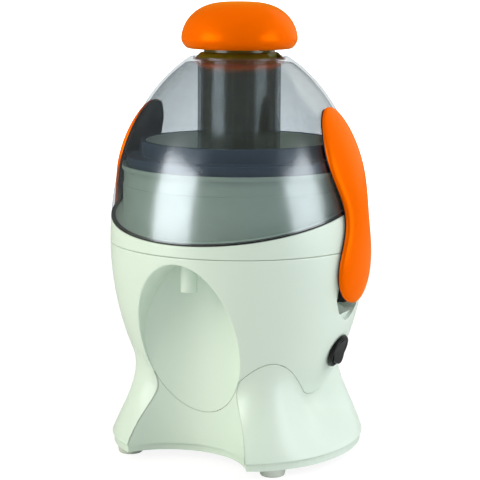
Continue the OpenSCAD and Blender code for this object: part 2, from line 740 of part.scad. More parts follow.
module juice_bowl() color(ivory) difference() {
    union() {
        difference() {
            egg_shell(bowl_z, lid_z + joint_rise, wall);
            above_joint(-seal_h / 2 - seat);
        }
        intersection() {                // tilted shelf that the lid's seal lies on
            egg_solid(bowl_z, lid_z + joint_rise, wall / 2);
            difference() {
                below_joint(-seal_h / 2 - seat);
                below_joint(-seal_h / 2 - seat - 2.4);
                cylinder(r = bowl_r - 1, h = big);
            }
        }
        translate([0, 0, bowl_z]) cylinder(r = egg(bowl_z) - wall / 2, h = wall);
        translate([0, 0, bowl_z]) cylinder(r = bowl_r, h = bowl_step_z - bowl_z);
        translate([0, 0, bowl_z]) cylinder(r = bowl_r - bowl_step, h = bowl_top - bowl_z);
        translate([0, -spout_y, spout_z]) cylinder(r = spout_r, h = bowl_z + wall - spout_z);
    }
    translate([0, 0, bowl_z + wall]) ring(bowl_in, chimney_r + 2.2, big);
    translate([0, 0, chimney_z]) cylinder(r = bowl_in, h = big);
    cylinder(r = chimney_r, h = big);
    translate([0, -spout_y, spout_z - 1]) cylinder(r = spout_r - spout_wall, h = 60);
}

// ---- Filter basket -------------------------------------------------------------------------
floor_t = 1.6;
basket_wall_z = rim_z - 2.5;            // top of the sieve, under the rim's plate

module sieve_cone(grow) {
    translate([0, 0, basket_z])
        cylinder(r1 = basket_r + grow, r2 = basket_top_r + grow, h = basket_wall_z - basket_z);
}

module filter_basket() color(steel) {
    difference() {
        sieve_cone(0);
        translate([0, 0, floor_t]) sieve_cone(-sheet);
        translate([0, 0, basket_z - 1]) cylinder(r = hub_r + fit, h = 10);
        for (k = [0 : slot_count - 1], row = [0 : 2])
            rotate([0, 0, 360 / slot_count * (k + 0.5 * (row % 2))])
                translate([basket_r - 6, -0.9, basket_z + 8 + 12 * row]) cube([30, 1.8, 8]);
    }
}

module basket_rim() color("#43484c") difference() {
    union() {
        translate([0, 0, bowl_top + seat]) cylinder(r = rim_r, h = rim_z - bowl_top - seat);
        translate([0, 0, rim_z - eps]) cylinder(r = collar_r, h = collar_z - rim_z);
        translate([0, 0, bowl_top - 4]) cylinder(r = bowl_in - 1.2, h = 8);
    }
    translate([0, 0, bowl_top - 5])     // hollow under the rim, outside the sieve
        ring(bowl_in - 3.2, basket_top_r + 2, rim_z - bowl_top + 5 - 2.5);
    translate([0, 0, fit / 2]) sieve_cone(fit);
    translate([0, 0, bowl_top - 10]) cylinder(r = basket_top_r - 2.4, h = big);
}

hub_r = chimney_r + 6.4;

module basket_hub() color("#43484c") difference() {
    union() {
        translate([0, 0, chimney_z + 1.2]) cylinder(r = hub_r - eps, h = basket_z + floor_t - chimney_z - 1.2);
        translate([0, 0, bowl_z + wall + 2]) ring(hub_r, chimney_r + 2.2 + 0.8, chimney_z - bowl_z - wall);
        translate([0, 0, drive_z + 1]) cylinder(r = chimney_r - 1, h = basket_z - drive_z - 1);
    }
    translate([0, 0, drive_z - 1]) drive_star(seat, drive_top - drive_z + 1 + seat);
    translate([0, 0, drive_z - 1]) cylinder(r = 1.55, h = 40);
}

disc_z = basket_z + floor_t + fit / 2;
disc_r = basket_r - 3;
disc_t = 1.2;

module grater_disc() color(steel) {
    translate([0, 0, disc_z]) ring(disc_r, 3.1, disc_t);
    for (ring_no = [1 : tooth_rings]) {
        r = 9 + (disc_r - 13) * ring_no / tooth_rings;
        n = 5 * ring_no + 3;
        for (k = [0 : n - 1]) rotate([0, 0, 360 / n * (k + ring_no / 3)])
            translate([r, 0, disc_z + disc_t - eps]) cylinder(r1 = 1.2, r2 = 0.3, h = 1.6, $fn = 24);
    }
}

module disc_nut() color(steel) {
    translate([0, 0, disc_z + disc_t + fit / 2]) cylinder(r = 7, h = 2.2);
    translate([0, 0, drive_top + 0.5]) cylinder(r = 1.5, h = disc_z + disc_t + 1 - drive_top - 0.5);
}

// ---- Lid -----------------------------------------------------------------------------------
catch_z = 196;
lid_low = lid_z - joint_rise;
tube_in = tube_r - tube_wall;
dome_top = tube_top - 1.2;
bead_r = tube_r + 2.8;
rib_z = collar_z + 6.4;                 // foot of the guide rib, above the basket's collar

module lid_dome() color(smoke) {
    difference() {
        union() {
            difference() {
                egg_shell(lid_low, dome_top, lid_wall);
                below_joint(seal_h / 2);
            }
            both_sides()                    // catch ramps under the latches
                rotate([0, 0, -8]) rotate_extrude(angle = 16)
                    polygon([[egg(catch_z) - 1.5, catch_z - 1], [egg(catch_z) + 1.3, catch_z - 0.5],
                             [egg(catch_z + 3) - 0.2, catch_z + 3], [egg(catch_z) - 1.5, catch_z + 3]]);
            translate([0, 0, tube_low]) cylinder(r = tube_r, h = tube_top - tube_low);
            translate([0, 0, dome_top - lid_wall]) cylinder(r = egg_in(dome_top - lid_wall, lid_wall / 2), h = lid_wall);
            rotate_extrude()            // bead round the mouth
                polygon([[tube_r - 1, tube_top - 4], [bead_r, tube_top - 3], [bead_r, tube_top - 1],
                         [bead_r - 1, tube_top], [tube_r - 1, tube_top]]);
            // guide rib down the side of the tube
            rotate([90, 0, 0]) translate([0, 0, -0.8]) linear_extrude(height = 1.6)
                polygon([[tube_r - 1, rib_z + 19.5], [tube_r + 3.2, rib_z + 0.5], [tube_r - 1, rib_z]]);
        }
        translate([0, 0, tube_low - 1]) cylinder(r = tube_in, h = big);
    }
}

module lid_seal() color(black) difference() {
    rotate_extrude() polygon(concat(
        [for (z = ramp(lid_low, lid_z + joint_rise, bands)) [egg(z) - 0.25, z]],
        [for (z = ramp(lid_z + joint_rise, lid_low, bands)) [egg_in(z, lid_wall + 1), z]]));
    above_joint(seal_h / 2 - fit);
    below_joint(-seal_h / 2);
}

// ---- Pusher --------------------------------------------------------------------------------
stem_r = tube_in - pusher_gap;
shoulder_z = tube_top + seat;
flute_r = 3;
neck_r = stem_r - 0.6;                  // neck that the knob is pressed on

module pusher_stem() color([0.25, 0.24, 0.16, 0.75]) difference() {
    union() {
        translate([0, 0, pusher_low]) linear_extrude(height = shoulder_z - pusher_low + 1) difference() {
            circle(r = stem_r);
            for (k = [0 : flute_count - 1]) rotate(360 / flute_count * (k + 0.5))
                translate([stem_r + 1.6, 0]) circle(r = flute_r);
        }
        translate([0, 0, shoulder_z])
            cylinder(r1 = bead_r - 1, r2 = neck_r + 2, h = knob_low - 2.5 - shoulder_z);
        translate([0, 0, shoulder_z + 1]) cylinder(r = neck_r, h = knob_low + 1.5 - shoulder_z);
    }
    translate([0, 0, pusher_low + 3]) cylinder(r = stem_r - 4, h = big);
    translate([neck_r + 0.4, -8, shoulder_z - 1]) cube([20, 16, knob_low - shoulder_z]);
}

// Mushroom: tucked in at its foot, widest low down, then one round crown.
knob_wide = 0.22;                       // share of the knob's height at which it is widest
function knob_edge(z) =
    let (t = (z - knob_low) / (knob_top - knob_low), up = max(0, t - knob_wide) / (1 - knob_wide))
    knob_r * pow(max(0, 1 - pow(up, 1.8)), 1 / 3) * (1 - 0.1 * pow(max(0, 1 - t / knob_wide), 2));

module pusher_cap() color(orange) difference() {
    rotate_extrude()
        polygon(concat([[0, knob_low]],
            [for (s = ramp(0, 1, 28)) let (z = knob_low + (knob_top - knob_low) * (1 - pow(1 - s, 1.7))) [knob_edge(z), z]]));
    translate([0, 0, knob_low - 1]) cylinder(r = neck_r + fit, h = 3.2 + 1);
}

// ---- Latches, drawn on the +X side -----------------------------------------------------------
function ease(t) = (1 - cos(180 * min(1, max(0, t)))) / 2;
function latch_w(z) =
    z > latch_z_up ? latch_w_up * sqrt(max(0, 1 - pow((z - latch_z_up) / (latch_top - latch_z_up), 2))) :
    z < latch_z_low ? latch_w_low * sqrt(max(0, 1 - pow((latch_z_low - z) / (latch_z_low - latch_low), 2))) :
    z > latch_z_mid ? latch_w_mid + (latch_w_up - latch_w_mid) * ease((z - latch_z_mid) / (latch_z_up - latch_z_mid)) :
    latch_w_mid + (latch_w_low - latch_w_mid) * ease((latch_z_mid - z) / (latch_z_mid - latch_z_low));

// Share of the way from the spine to the outline, for the crown of the cover.
function latch_rho(y, z) =
    z > latch_z_up ? sqrt(pow(y / latch_w_up, 2) + pow((z - latch_z_up) / (latch_top - latch_z_up), 2)) :
    z < latch_z_low ? sqrt(pow(y / latch_w_low, 2) + pow((latch_z_low - z) / (latch_z_low - latch_low), 2)) :
    abs(y) / latch_w(z);
function latch_h(rho) = latch_edge + (latch_crown - latch_edge) * pow(max(0, 1 - pow(rho, 2.6)), 0.5);
function on_egg(y, z, h) = [sqrt(pow(egg(z) + h, 2) - y * y), y, z];

// Heights of the rows: close together near both tips.
latch_rows = 26;
latch_cols = 10;
function latch_row(i) = latch_low + (latch_top - latch_low) * (1 - cos(180 * i / latch_rows)) / 2;

module latch_cover() color(orange) {
    under = liner_gap + liner_t + fit;
    cols = latch_cols + 1;
    inner_rows = latch_rows - 1;
    points = concat(
        [for (side = [0, 1], i = [1 : inner_rows], j = [0 : latch_cols])
            let (z = latch_row(i), y = latch_w(z) * sin(-90 + 180 * j / latch_cols))
            on_egg(y, z, side == 0 ? latch_h(latch_rho(y, z)) : under)],
        [for (side = [0, 1], z = [latch_low, latch_top]) on_egg(0, z, side == 0 ? latch_edge : under)]);
    page = inner_rows * cols;
    tip = 2 * page;                     // outer low, outer top, under low, under top
    last = (inner_rows - 1) * cols;
    faces = concat(
        [for (i = [0 : inner_rows - 2], j = [0 : latch_cols - 1], half = [0, 1])
            let (p = i * cols + j) half == 0 ? [p, p + cols, p + cols + 1] : [p, p + cols + 1, p + 1]],
        [for (i = [0 : inner_rows - 2], j = [0 : latch_cols - 1], half = [0, 1])
            let (p = page + i * cols + j) half == 0 ? [p, p + cols + 1, p + cols] : [p, p + 1, p + cols + 1]],
        [for (j = [0 : latch_cols - 1]) [tip, j, j + 1]],
        [for (j = [0 : latch_cols - 1]) [tip + 1, last + j + 1, last + j]],
        [for (j = [0 : latch_cols - 1]) [tip + 2, page + j + 1, page + j]],
        [for (j = [0 : latch_cols - 1]) [tip + 3, page + last + j, page + last + j + 1]],
        [for (i = [0 : inner_rows - 2], half = [0, 1])
            let (p = i * cols, q = p + page) half == 0 ? [p, q, q + cols] : [p, q + cols, p + cols]],
        [for (i = [0 : inner_rows - 2], half = [0, 1])
            let (p = i * cols + latch_cols, q = p + page) half == 0 ? [p, q + cols, q] : [p, p + cols, q + cols]],
        [[tip, tip + 2, page], [tip, page, 0]],
        [[tip, latch_cols, page + latch_cols], [tip, page + latch_cols, tip + 2]],
        [[tip + 1, last, page + last], [tip + 1, page + last, tip + 3]],
        [[tip + 1, tip + 3, page + last + latch_cols], [tip + 1, page + last + latch_cols, last + latch_cols]]);
    polyhedron(points, faces, convexity = 4);
}

liner_inset = 0.4;

module latch_plan(inset) {
    n = 40;
    zs = [for (i = [0 : n]) latch_low + inset + (latch_top - latch_low - 2 * inset) * (1 - cos(180 * i / n)) / 2];
    polygon(concat(
        [for (z = zs) [max(0.01, latch_w(z) - inset), z]],
        [for (i = [n : -1 : 0]) [-max(0.01, latch_w(zs[i]) - inset), zs[i]]]));
}

module latch_liner() color(black) difference() {
    union() {
        intersection() {
            rotate([90, 0, 90]) linear_extrude(height = big) latch_plan(liner_inset);
            rotate_extrude() polygon(concat(
                [for (z = ramp(latch_low - 2, latch_top + 2, 2 * bands)) [egg(z) + liner_gap + liner_t, z]],
                [for (z = ramp(latch_top + 2, latch_low - 2, 2 * bands)) [egg(z) + liner_gap, z]]));
        }
        intersection() {                // web and knuckle on the hinge pin
            translate([pin_x, -knuckle_w, pin_z - 3.5]) cube([30, 2 * knuckle_w, 7]);
            egg_solid(latch_low - 2, latch_z_mid, -liner_gap - liner_t / 2);
        }
        translate([pin_x, 0, pin_z]) rotate([90, 0, 0]) cylinder(r = knuckle_r, h = 2 * knuckle_w, center = true);
    }
    translate([pin_x, 0, pin_z]) rotate([90, 0, 0]) cylinder(r = pin_r + pin_fit, h = 100, center = true);
    translate([0, -13, catch_z - 2]) cube([big, 26, 6.5]);      // window over the lid's catch
}

module left_side() mirror([1, 0, 0]) children();

base_skirt();
bottom_cover();
rubber_feet();
cover_screws();
motor_housing();
latch_pins();
cord_gland();
switch_bezel();
rocker_switch();
interlock_switch();
stator_core();
field_coils();
upper_bracket();
lower_bracket();
motor_bolts();
mount_screws();
rubber_mounts();
upper_bearing();
lower_bearing();
brush_holders();
carbon_brushes();
shaft_seal();
motor_shaft();
rotor_core();
commutator();
cooling_fan();
drive_coupling();
juice_bowl();
filter_basket();
basket_rim();
basket_hub();
grater_disc();
disc_nut();
lid_dome();
lid_seal();
pusher_stem();
pusher_cap();
left_side() latch_cover();  // left_latch_cover
left_side() latch_liner();  // left_latch_liner
latch_cover();  // right_latch_cover
latch_liner();  // right_latch_liner
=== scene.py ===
import json
import math

import bmesh
import bpy
from mathutils import Matrix, Quaternion, Vector


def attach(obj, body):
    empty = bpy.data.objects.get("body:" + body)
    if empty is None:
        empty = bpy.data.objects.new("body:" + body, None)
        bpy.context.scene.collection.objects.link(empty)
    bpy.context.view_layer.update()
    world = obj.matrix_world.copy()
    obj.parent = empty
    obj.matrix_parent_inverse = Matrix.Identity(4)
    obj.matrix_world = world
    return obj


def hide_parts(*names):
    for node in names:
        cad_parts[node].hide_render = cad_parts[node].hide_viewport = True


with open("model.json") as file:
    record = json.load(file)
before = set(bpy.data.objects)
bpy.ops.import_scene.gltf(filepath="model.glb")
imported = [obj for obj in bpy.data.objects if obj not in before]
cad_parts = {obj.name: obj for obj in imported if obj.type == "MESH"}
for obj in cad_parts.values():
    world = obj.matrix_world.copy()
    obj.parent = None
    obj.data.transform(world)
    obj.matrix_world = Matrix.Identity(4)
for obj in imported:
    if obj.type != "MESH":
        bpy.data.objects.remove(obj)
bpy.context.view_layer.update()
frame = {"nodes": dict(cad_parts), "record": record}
nodes = frame["nodes"]
scene = bpy.context.scene
mm = 0.001  # every shape below is drawn in millimetres
print("frame loaded:", len(nodes), "nodes")

# camera, room and lamps; here lengths are in metres
cameraSetup = {
    "place": (0.5041, -0.9642, 0.3260), "heading": (-0.4633, 0.8862), "pitch": 9.49, "roll": 0.28,
    "lens": 120, "sensor": 36, "shiftX": 0.0031, "near": 0.01, "far": 50,
}

camera = bpy.data.objects.new("mainCamera", bpy.data.cameras.new("mainCamera"))
scene.collection.objects.link(camera)
camera.data.sensor_width = cameraSetup["sensor"]
camera.data.lens = cameraSetup["lens"]
camera.data.shift_x = cameraSetup["shiftX"]
camera.data.clip_start = cameraSetup["near"]
camera.data.clip_end = cameraSetup["far"]
headX, headY = cameraSetup["heading"]
pitch = math.radians(cameraSetup["pitch"])
lookAlong = Vector((headX * math.cos(pitch), headY * math.cos(pitch), -math.sin(pitch)))
camera.location = cameraSetup["place"]
camera.rotation_mode = "QUATERNION"
camera.rotation_quaternion = lookAlong.to_track_quat("-Z", "Y")
camera.rotation_quaternion @= Quaternion((0, 0, 1), math.radians(cameraSetup["roll"]))
scene.camera = camera
scene.view_settings.view_transform = "Standard"

toCamera = Vector((-headX, -headY, 0))
toLeft = Vector((-headY, headX, 0))  # the viewer's left
lampTarget = Vector((0, 0, 0.16))


def addSoftBox(name, turn, height, distance, width, tall, power, tint, mirrored, lean=0.0):
    # turn is in degrees to the viewer's left of the camera, lean tips the box in its own plane;
    # mirrored boxes only show in reflections, the others only light
    lamp = bpy.data.lights.new(name, "AREA")
    lamp.shape, lamp.size, lamp.size_y = "RECTANGLE", width, tall
    lamp.energy, lamp.color = power, tint
    box = bpy.data.objects.new(name, lamp)
    scene.collection.objects.link(box)
    angle = math.radians(turn)
    along = toCamera * math.cos(angle) + toLeft * math.sin(angle)
    box.location = along * distance + Vector((0, 0, height))
    box.rotation_mode = "QUATERNION"
    aim = (lampTarget - box.location).to_track_quat("-Z", "Y")
    box.rotation_quaternion = aim @ Quaternion((0, 0, 1), math.radians(lean))
    box.visible_diffuse, box.visible_glossy = not mirrored, mirrored


softBoxes = {
    "leftBox": (72, 0.80, 1.2, 1.0, 1.1, 12.2, (1.0, 0.985, 0.80), False),
    "rightBox": (-91, 0.80, 1.1, 1.15, 0.9, 12.9, (1.0, 0.99, 1.0), False),
    "topBox": (10, 1.6, 0.25, 1.0, 1.0, 2.4, (1.0, 1.0, 1.0), False),
    "leftStrip": (60, 0.30, 1.25, 0.84, 0.86, 8.6, (0.9, 0.95, 1.0), True, -6),
    "rightStrip": (-62, 0.30, 1.25, 0.7, 0.86, 5.4, (0.9, 0.96, 1.0), True, 16),
    "backStrip": (-133, 0.70, 1.2, 0.9, 1.1, 2.6, (1.0, 0.98, 0.92), True),
}
for boxName, boxValues in softBoxes.items():
    addSoftBox(boxName, *boxValues)


def addSpan(tree, value, low, high, start=0.0, stop=1.0):
    # turns start to stop of an output into low to high
    span = tree.nodes.new("ShaderNodeMapRange")
    span.inputs["From Min"].default_value, span.inputs["From Max"].default_value = start, stop
    span.inputs["To Min"].default_value, span.inputs["To Max"].default_value = low, high
    tree.links.new(value, span.inputs["Value"])
    return span.outputs["Result"]


def addMix(tree, share, first, second):
    mix = tree.nodes.new("ShaderNodeMixShader")
    tree.links.new(share, mix.inputs["Fac"])
    tree.links.new(first, mix.inputs[1])
    tree.links.new(second, mix.inputs[2])
    return mix.outputs["Shader"]


def addRamp(tree, grain, dark, light, start=0.35, stop=0.65):
    ramp = tree.nodes.new("ShaderNodeValToRGB")
    for stage, position, colour in zip(ramp.color_ramp.elements, (start, stop), (dark, light)):
        stage.position, stage.color = position, colour
    tree.links.new(grain.outputs["Fac"], ramp.inputs["Fac"])
    return ramp


# level lights the object, mirrored is what it reflects, backdrop is what the camera sees
roomLight = {"level": 0.45, "mirrored": 0.09, "tint": (0.96, 1.0, 0.99), "backdrop": 1.95}


def addRoom():
    world = bpy.data.worlds.new("studio")
    scene.world = world
    world.use_nodes = True
    tree = world.node_tree
    tree.nodes.clear()
    out = tree.nodes.new("ShaderNodeOutputWorld")
    dimSky = tree.nodes.new("ShaderNodeBackground")
    dimSky.inputs["Color"].default_value = (*roomLight["tint"], 1)
    whiteSky = tree.nodes.new("ShaderNodeBackground")
    whiteSky.inputs["Color"].default_value = (1, 1, 1, 1)
    whiteSky.inputs["Strength"].default_value = roomLight["backdrop"]
    rays = tree.nodes.new("ShaderNodeLightPath")
    level = addSpan(tree, rays.outputs["Is Glossy Ray"], roomLight["level"], roomLight["mirrored"])
    tree.links.new(level, dimSky.inputs["Strength"])
    seen = rays.outputs["Is Camera Ray"]
    sky = addMix(tree, seen, dimSky.outputs["Background"], whiteSky.outputs["Background"])
    tree.links.new(sky, out.inputs["Surface"])


# fade is how far out the floor's shadow is let go, and far is where it turns into the backdrop
floorForm = {
    "half": 6, "grain": 3, "dark": (0.86, 0.86, 0.86, 1), "light": (0.9, 0.9, 0.9, 1), "glow": 1.08,
    "shadow": 0.82, "fade": (0.25, 1.0), "far": (0.8, 1.4), "mirrorDim": 0.6,
}


def addFloor():
    f = floorForm
    finish = bpy.data.materials.new("floorWhite")
    finish.use_nodes = True
    tree = finish.node_tree
    tree.nodes.clear()
    out = tree.nodes.new("ShaderNodeOutputMaterial")
    matt = tree.nodes.new("ShaderNodeBsdfDiffuse")
    grain = tree.nodes.new("ShaderNodeTexNoise")
    grain.inputs["Scale"].default_value = f["grain"]
    ramp = addRamp(tree, grain, f["dark"], f["light"], 0, 1)
    tree.links.new(ramp.outputs["Color"], matt.inputs["Color"])
    glow = tree.nodes.new("ShaderNodeEmission")
    rays = tree.nodes.new("ShaderNodeLightPath")
    place = tree.nodes.new("ShaderNodeNewGeometry")
    away = tree.nodes.new("ShaderNodeVectorMath")
    away.operation = "LENGTH"
    tree.links.new(place.outputs["Position"], away.inputs[0])
    fade = addSpan(tree, away.outputs["Value"], f["shadow"], 1.0, *f["fade"])
    # brighter far behind, for what shows through the smoked lid
    backdrop = addSpan(tree, away.outputs["Value"], f["glow"], roomLight["backdrop"], *f["far"])
    tree.links.new(backdrop, glow.inputs["Strength"])
    share = tree.nodes.new("ShaderNodeMath")
    share.operation = "MULTIPLY"
    tree.links.new(rays.outputs["Is Camera Ray"], share.inputs[0])
    tree.links.new(fade, share.inputs[1])
    lit = addMix(tree, share.outputs["Value"], matt.outputs["BSDF"], glow.outputs["Emission"])
    # what the object's own surfaces mirror of the floor is held down, like the room
    dim = addSpan(tree, rays.outputs["Is Glossy Ray"], 0, f["mirrorDim"])
    dark = tree.nodes.new("ShaderNodeEmission")
    dark.inputs["Strength"].default_value = 0
    tree.links.new(addMix(tree, dim, lit, dark.outputs["Emission"]), out.inputs["Surface"])
    floorMesh = bpy.data.meshes.new("floorSheet")
    corners = [(x * f["half"], y * f["half"], 0) for x, y in ((-1, -1), (1, -1), (1, 1), (-1, 1))]
    floorMesh.from_pydata(corners, [], [(0, 1, 2, 3)])
    floorMesh.materials.append(finish)
    sheet = bpy.data.objects.new("floorSheet", floorMesh)
    scene.collection.objects.link(sheet)


addRoom()
addFloor()
print("camera, lamps and floor ready")


# finishes
def tone(red, green, blue):
    # screen values from 0 to 255, turned into linear light
    def linear(value):
        value /= 255
        return value / 12.92 if value <= 0.04045 else ((value + 0.055) / 1.055) ** 2.4
    return (linear(red), linear(green), linear(blue), 1)


def scaled(colour, factor):
    return tuple(min(1, c * factor) for c in colour[:3]) + (1,)


def startFinish(name):
    finish = bpy.data.materials.new(name)
    finish.use_nodes = True
    tree = finish.node_tree
    return finish, tree, tree.nodes["Principled BSDF"]


def addNoise(tree, scale, detail=3, stretch=(1, 1, 1)):
    place = tree.nodes.new("ShaderNodeTexCoord")
    fit = tree.nodes.new("ShaderNodeMapping")
    fit.inputs["Scale"].default_value = stretch
    grain = tree.nodes.new("ShaderNodeTexNoise")
    grain.inputs["Scale"].default_value = scale
    grain.inputs["Detail"].default_value = detail
    tree.links.new(place.outputs["Object"], fit.inputs["Vector"])
    tree.links.new(fit.outputs["Vector"], grain.inputs["Vector"])
    return grain


def varyGloss(tree, shader, grain, low, high):
    # uneven polish between two roughnesses
    tree.links.new(addSpan(tree, grain.outputs["Fac"], low, high, 0.3, 0.7), shader.inputs["Roughness"])


def addBump(tree, shader, grain, depth, strength=0.4):
    bump = tree.nodes.new("ShaderNodeBump")
    bump.inputs["Strength"].default_value = strength
    bump.inputs["Distance"].default_value = depth * mm
    tree.links.new(grain.outputs["Fac"], bump.inputs["Height"])
    tree.links.new(bump.outputs["Normal"], shader.inputs["Normal"])


def moulded(name, colour, gloss, blotch, grainSize, grainDepth, coat=0.0, sheen=0.5, lustre=0.0,
            bloom=0.0, tint=(1, 1, 1, 1)):
    # moulded plastic: slow colour drift, uneven polish and a fine skin; lustre and bloom warm its highlights
    finish, tree, shader = startFinish(name)
    drift = addNoise(tree, 9, 2)
    ramp = addRamp(tree, drift, scaled(colour, 1 - blotch), scaled(colour, 1 + blotch * 0.6), 0.2, 0.8)
    tree.links.new(ramp.outputs["Color"], shader.inputs["Base Color"])
    varyGloss(tree, shader, addNoise(tree, 30, 3), gloss * 0.93, gloss * 1.08)
    addBump(tree, shader, addNoise(tree, grainSize, 2), grainDepth)
    shader.inputs["IOR"].default_value = 1.5
    shader.inputs["Specular IOR Level"].default_value = sheen
    shader.inputs["Specular Tint"].default_value = tint
    shader.inputs["Coat Weight"].default_value = coat
    shader.inputs["Coat Roughness"].default_value = 0.08
    shader.inputs["Metallic"].default_value = lustre
    shader.inputs["Sheen Weight"].default_value = bloom
    shader.inputs["Sheen Roughness"].default_value = 0.35
    shader.inputs["Sheen Tint"].default_value = tint
    return finish


def metal(name, colour, rough=0.3, brush=(1, 1, 30), grainSize=220, grainDepth=0.02, share=1.0):
    # drawn or ground metal: fine scratches along one way
    finish, tree, shader = startFinish(name)
    lines = addNoise(tree, grainSize, 4, brush)
    ramp = addRamp(tree, lines, scaled(colour, 0.82), scaled(colour, 1.08), 0.3, 0.7)
    tree.links.new(ramp.outputs["Color"], shader.inputs["Base Color"])
    varyGloss(tree, shader, lines, rough * 0.75, rough * 1.3)
    addBump(tree, shader, lines, grainDepth)
    shader.inputs["Metallic"].default_value = share
    return finish


def tinted(name, colour, through, body, edge, gloss, density, core=None, tubeTone=None):
    # clear coloured plastic: a polished skin mixed with what lies behind, body seen flat on and edge at
    # its rims; core and tubeTone are the strength at the rims and the colour of the tube in the middle
    finish, tree, shader = startFinish(name)
    ramp = addRamp(tree, addNoise(tree, 20, 2), scaled(colour, 0.95), scaled(colour, 1.05))
    tree.links.new(ramp.outputs["Color"], shader.inputs["Base Color"])
    varyGloss(tree, shader, addNoise(tree, 80, 3), gloss * 0.85, gloss * 1.2)
    shader.inputs["IOR"].default_value = density
    shader.inputs["Specular IOR Level"].default_value = 1.0
    clear = tree.nodes.new("ShaderNodeBsdfTransparent")
    clear.inputs["Color"].default_value = (*through, 1)
    rim = tree.nodes.new("ShaderNodeLayerWeight")
    rim.inputs["Blend"].default_value = 0.35
    weight = addSpan(tree, rim.outputs["Facing"], body, edge)
    if core is not None:
        spot = tree.nodes.new("ShaderNodeTexCoord")
        flat = tree.nodes.new("ShaderNodeVectorMath")
        flat.operation = "MULTIPLY"
        flat.inputs[1].default_value = (1, 1, 0)
        away = tree.nodes.new("ShaderNodeVectorMath")
        away.operation = "LENGTH"
        tree.links.new(spot.outputs["Object"], flat.inputs[0])
        tree.links.new(flat.outputs["Vector"], away.inputs[0])
        tubeSkin = (28.6 * mm, 31 * mm)
        atRims = addSpan(tree, away.outputs["Value"], core, edge, *tubeSkin)
        tree.links.new(atRims, weight.node.inputs["To Max"])
        tints = tree.nodes.new("ShaderNodeMix")
        tints.data_type = "RGBA"
        tints.inputs[6].default_value = tubeTone
        tree.links.new(addSpan(tree, away.outputs["Value"], 0, 1, *tubeSkin), tints.inputs[0])
        tree.links.new(ramp.outputs["Color"], tints.inputs[7])
        tree.links.new(tints.outputs[2], shader.inputs["Base Color"])
    skin = addMix(tree, weight, clear.outputs["BSDF"], shader.outputs["BSDF"])
    tree.links.new(skin, tree.nodes["Material Output"].inputs["Surface"])
    return finish


finishes = {
    "ivory_plastic": moulded("ivoryPlastic", tone(216, 231, 220), 0.36, 0.01, 1100, 0.008, 0.1),
    "orange_plastic": moulded("orangePlastic", tone(255, 106, 0), 0.26, 0.02, 1300, 0.008, 0.0, 0.04,
                              0.19, 0.5, (1.0, 0.5, 0.0, 1)),
    "smoky_clear": tinted("smokyClear", tone(19, 27, 34), (0.942, 0.973, 0.986), 0.225, 0.46, 0.2, 3.0,
                          0.66, tone(34, 32, 8)),
    "dark_clear": tinted("darkClear", tone(100, 100, 22), (0.5, 0.5, 0.12), 0.985, 0.985, 0.2, 1.4),
    "black_plastic": moulded("blackPlastic", tone(9, 13, 14), 0.38, 0.1, 900, 0.03),
    "dark_plastic": moulded("darkPlastic", tone(82, 98, 120), 0.25, 0.06, 900, 0.02, 0.2),
    "pale_rubber": moulded("paleRubber", tone(205, 212, 204), 0.6, 0.05, 500, 0.06),
    "black_rubber": moulded("blackRubber", tone(22, 22, 22), 0.55, 0.12, 500, 0.06),
    "bright_steel": metal("brightSteel", tone(205, 207, 210), 0.25),
    "stainless_mesh": metal("stainlessSheet", tone(216, 219, 222), 0.42, (1, 1, 8), 220, 0.02, 0.45),
    "iron_stack": metal("ironStack", tone(128, 130, 134), 0.5, (0.2, 0.2, 60), 60, 0.08),
    "die_cast": metal("dieCast", tone(165, 168, 170), 0.55, (1, 1, 1), 500, 0.08),
    "enamelled_wire": metal("enamelledWire", tone(184, 92, 36), 0.3, (1, 1, 40), 120, 0.2),
    "copper_bars": metal("copperBars", tone(214, 138, 84), 0.28, (1, 1, 20)),
    "brown_resin": moulded("brownResin", tone(110, 74, 44), 0.45, 0.1, 500, 0.04),
    "carbon": moulded("carbonBlock", tone(42, 42, 44), 0.6, 0.15, 700, 0.06),
}

for entry in frame["record"]["subparts"]:
    for place in nodes[entry["node"]].material_slots:
        place.material = finishes[entry["material_slot"]]
print("finishes ready:", len(finishes))


# mesh helpers
def steps(start, stop, count):
    return [start + (stop - start) * i / count for i in range(count + 1)]


def buildMesh(name, points, faces):
    mesh = bpy.data.meshes.new(name)
    mesh.from_pydata([(x * mm, y * mm, z * mm) for x, y, z in points], [], faces)
    work = bmesh.new()
    work.from_mesh(mesh)
    bmesh.ops.recalc_face_normals(work, faces=work.faces)
    work.to_mesh(mesh)
    work.free()
    piece = bpy.data.objects.new(name, mesh)
    scene.collection.objects.link(piece)
    return piece


def lathe(name, profile, around=288, centre=(0, 0)):
    # turns a profile of (radius, height) about an upright line; the profile is closed, or ends on the line
    points, rows = [], []
    for radius, height in profile:
        if radius < 1e-6:
            rows.append([len(points)] * around)
            points.append((centre[0], centre[1], height))
            continue
        rows.append(list(range(len(points), len(points) + around)))
        for k in range(around):
            angle = 2 * math.pi * k / around
            across, deep = radius * math.cos(angle), radius * math.sin(angle)
            points.append((centre[0] + across, centre[1] + deep, height))
    faces = []
    for i, low in enumerate(rows):
        high = rows[(i + 1) % len(rows)]
        if low[0] == low[-1] and high[0] == high[-1]:
            continue
        for k in range(around):
            j = (k + 1) % around
            corners = []
            for corner in (low[k], low[j], high[j], high[k]):
                if corner not in corners:
                    corners.append(corner)
            faces.append(corners)
    return buildMesh(name, points, faces)


def disc(name, radius, low, high, around, centre=(0, 0)):
    # a plain upright cylinder
    return lathe(name, [(0, low), (radius, low), (radius, high), (0, high)], around, centre)


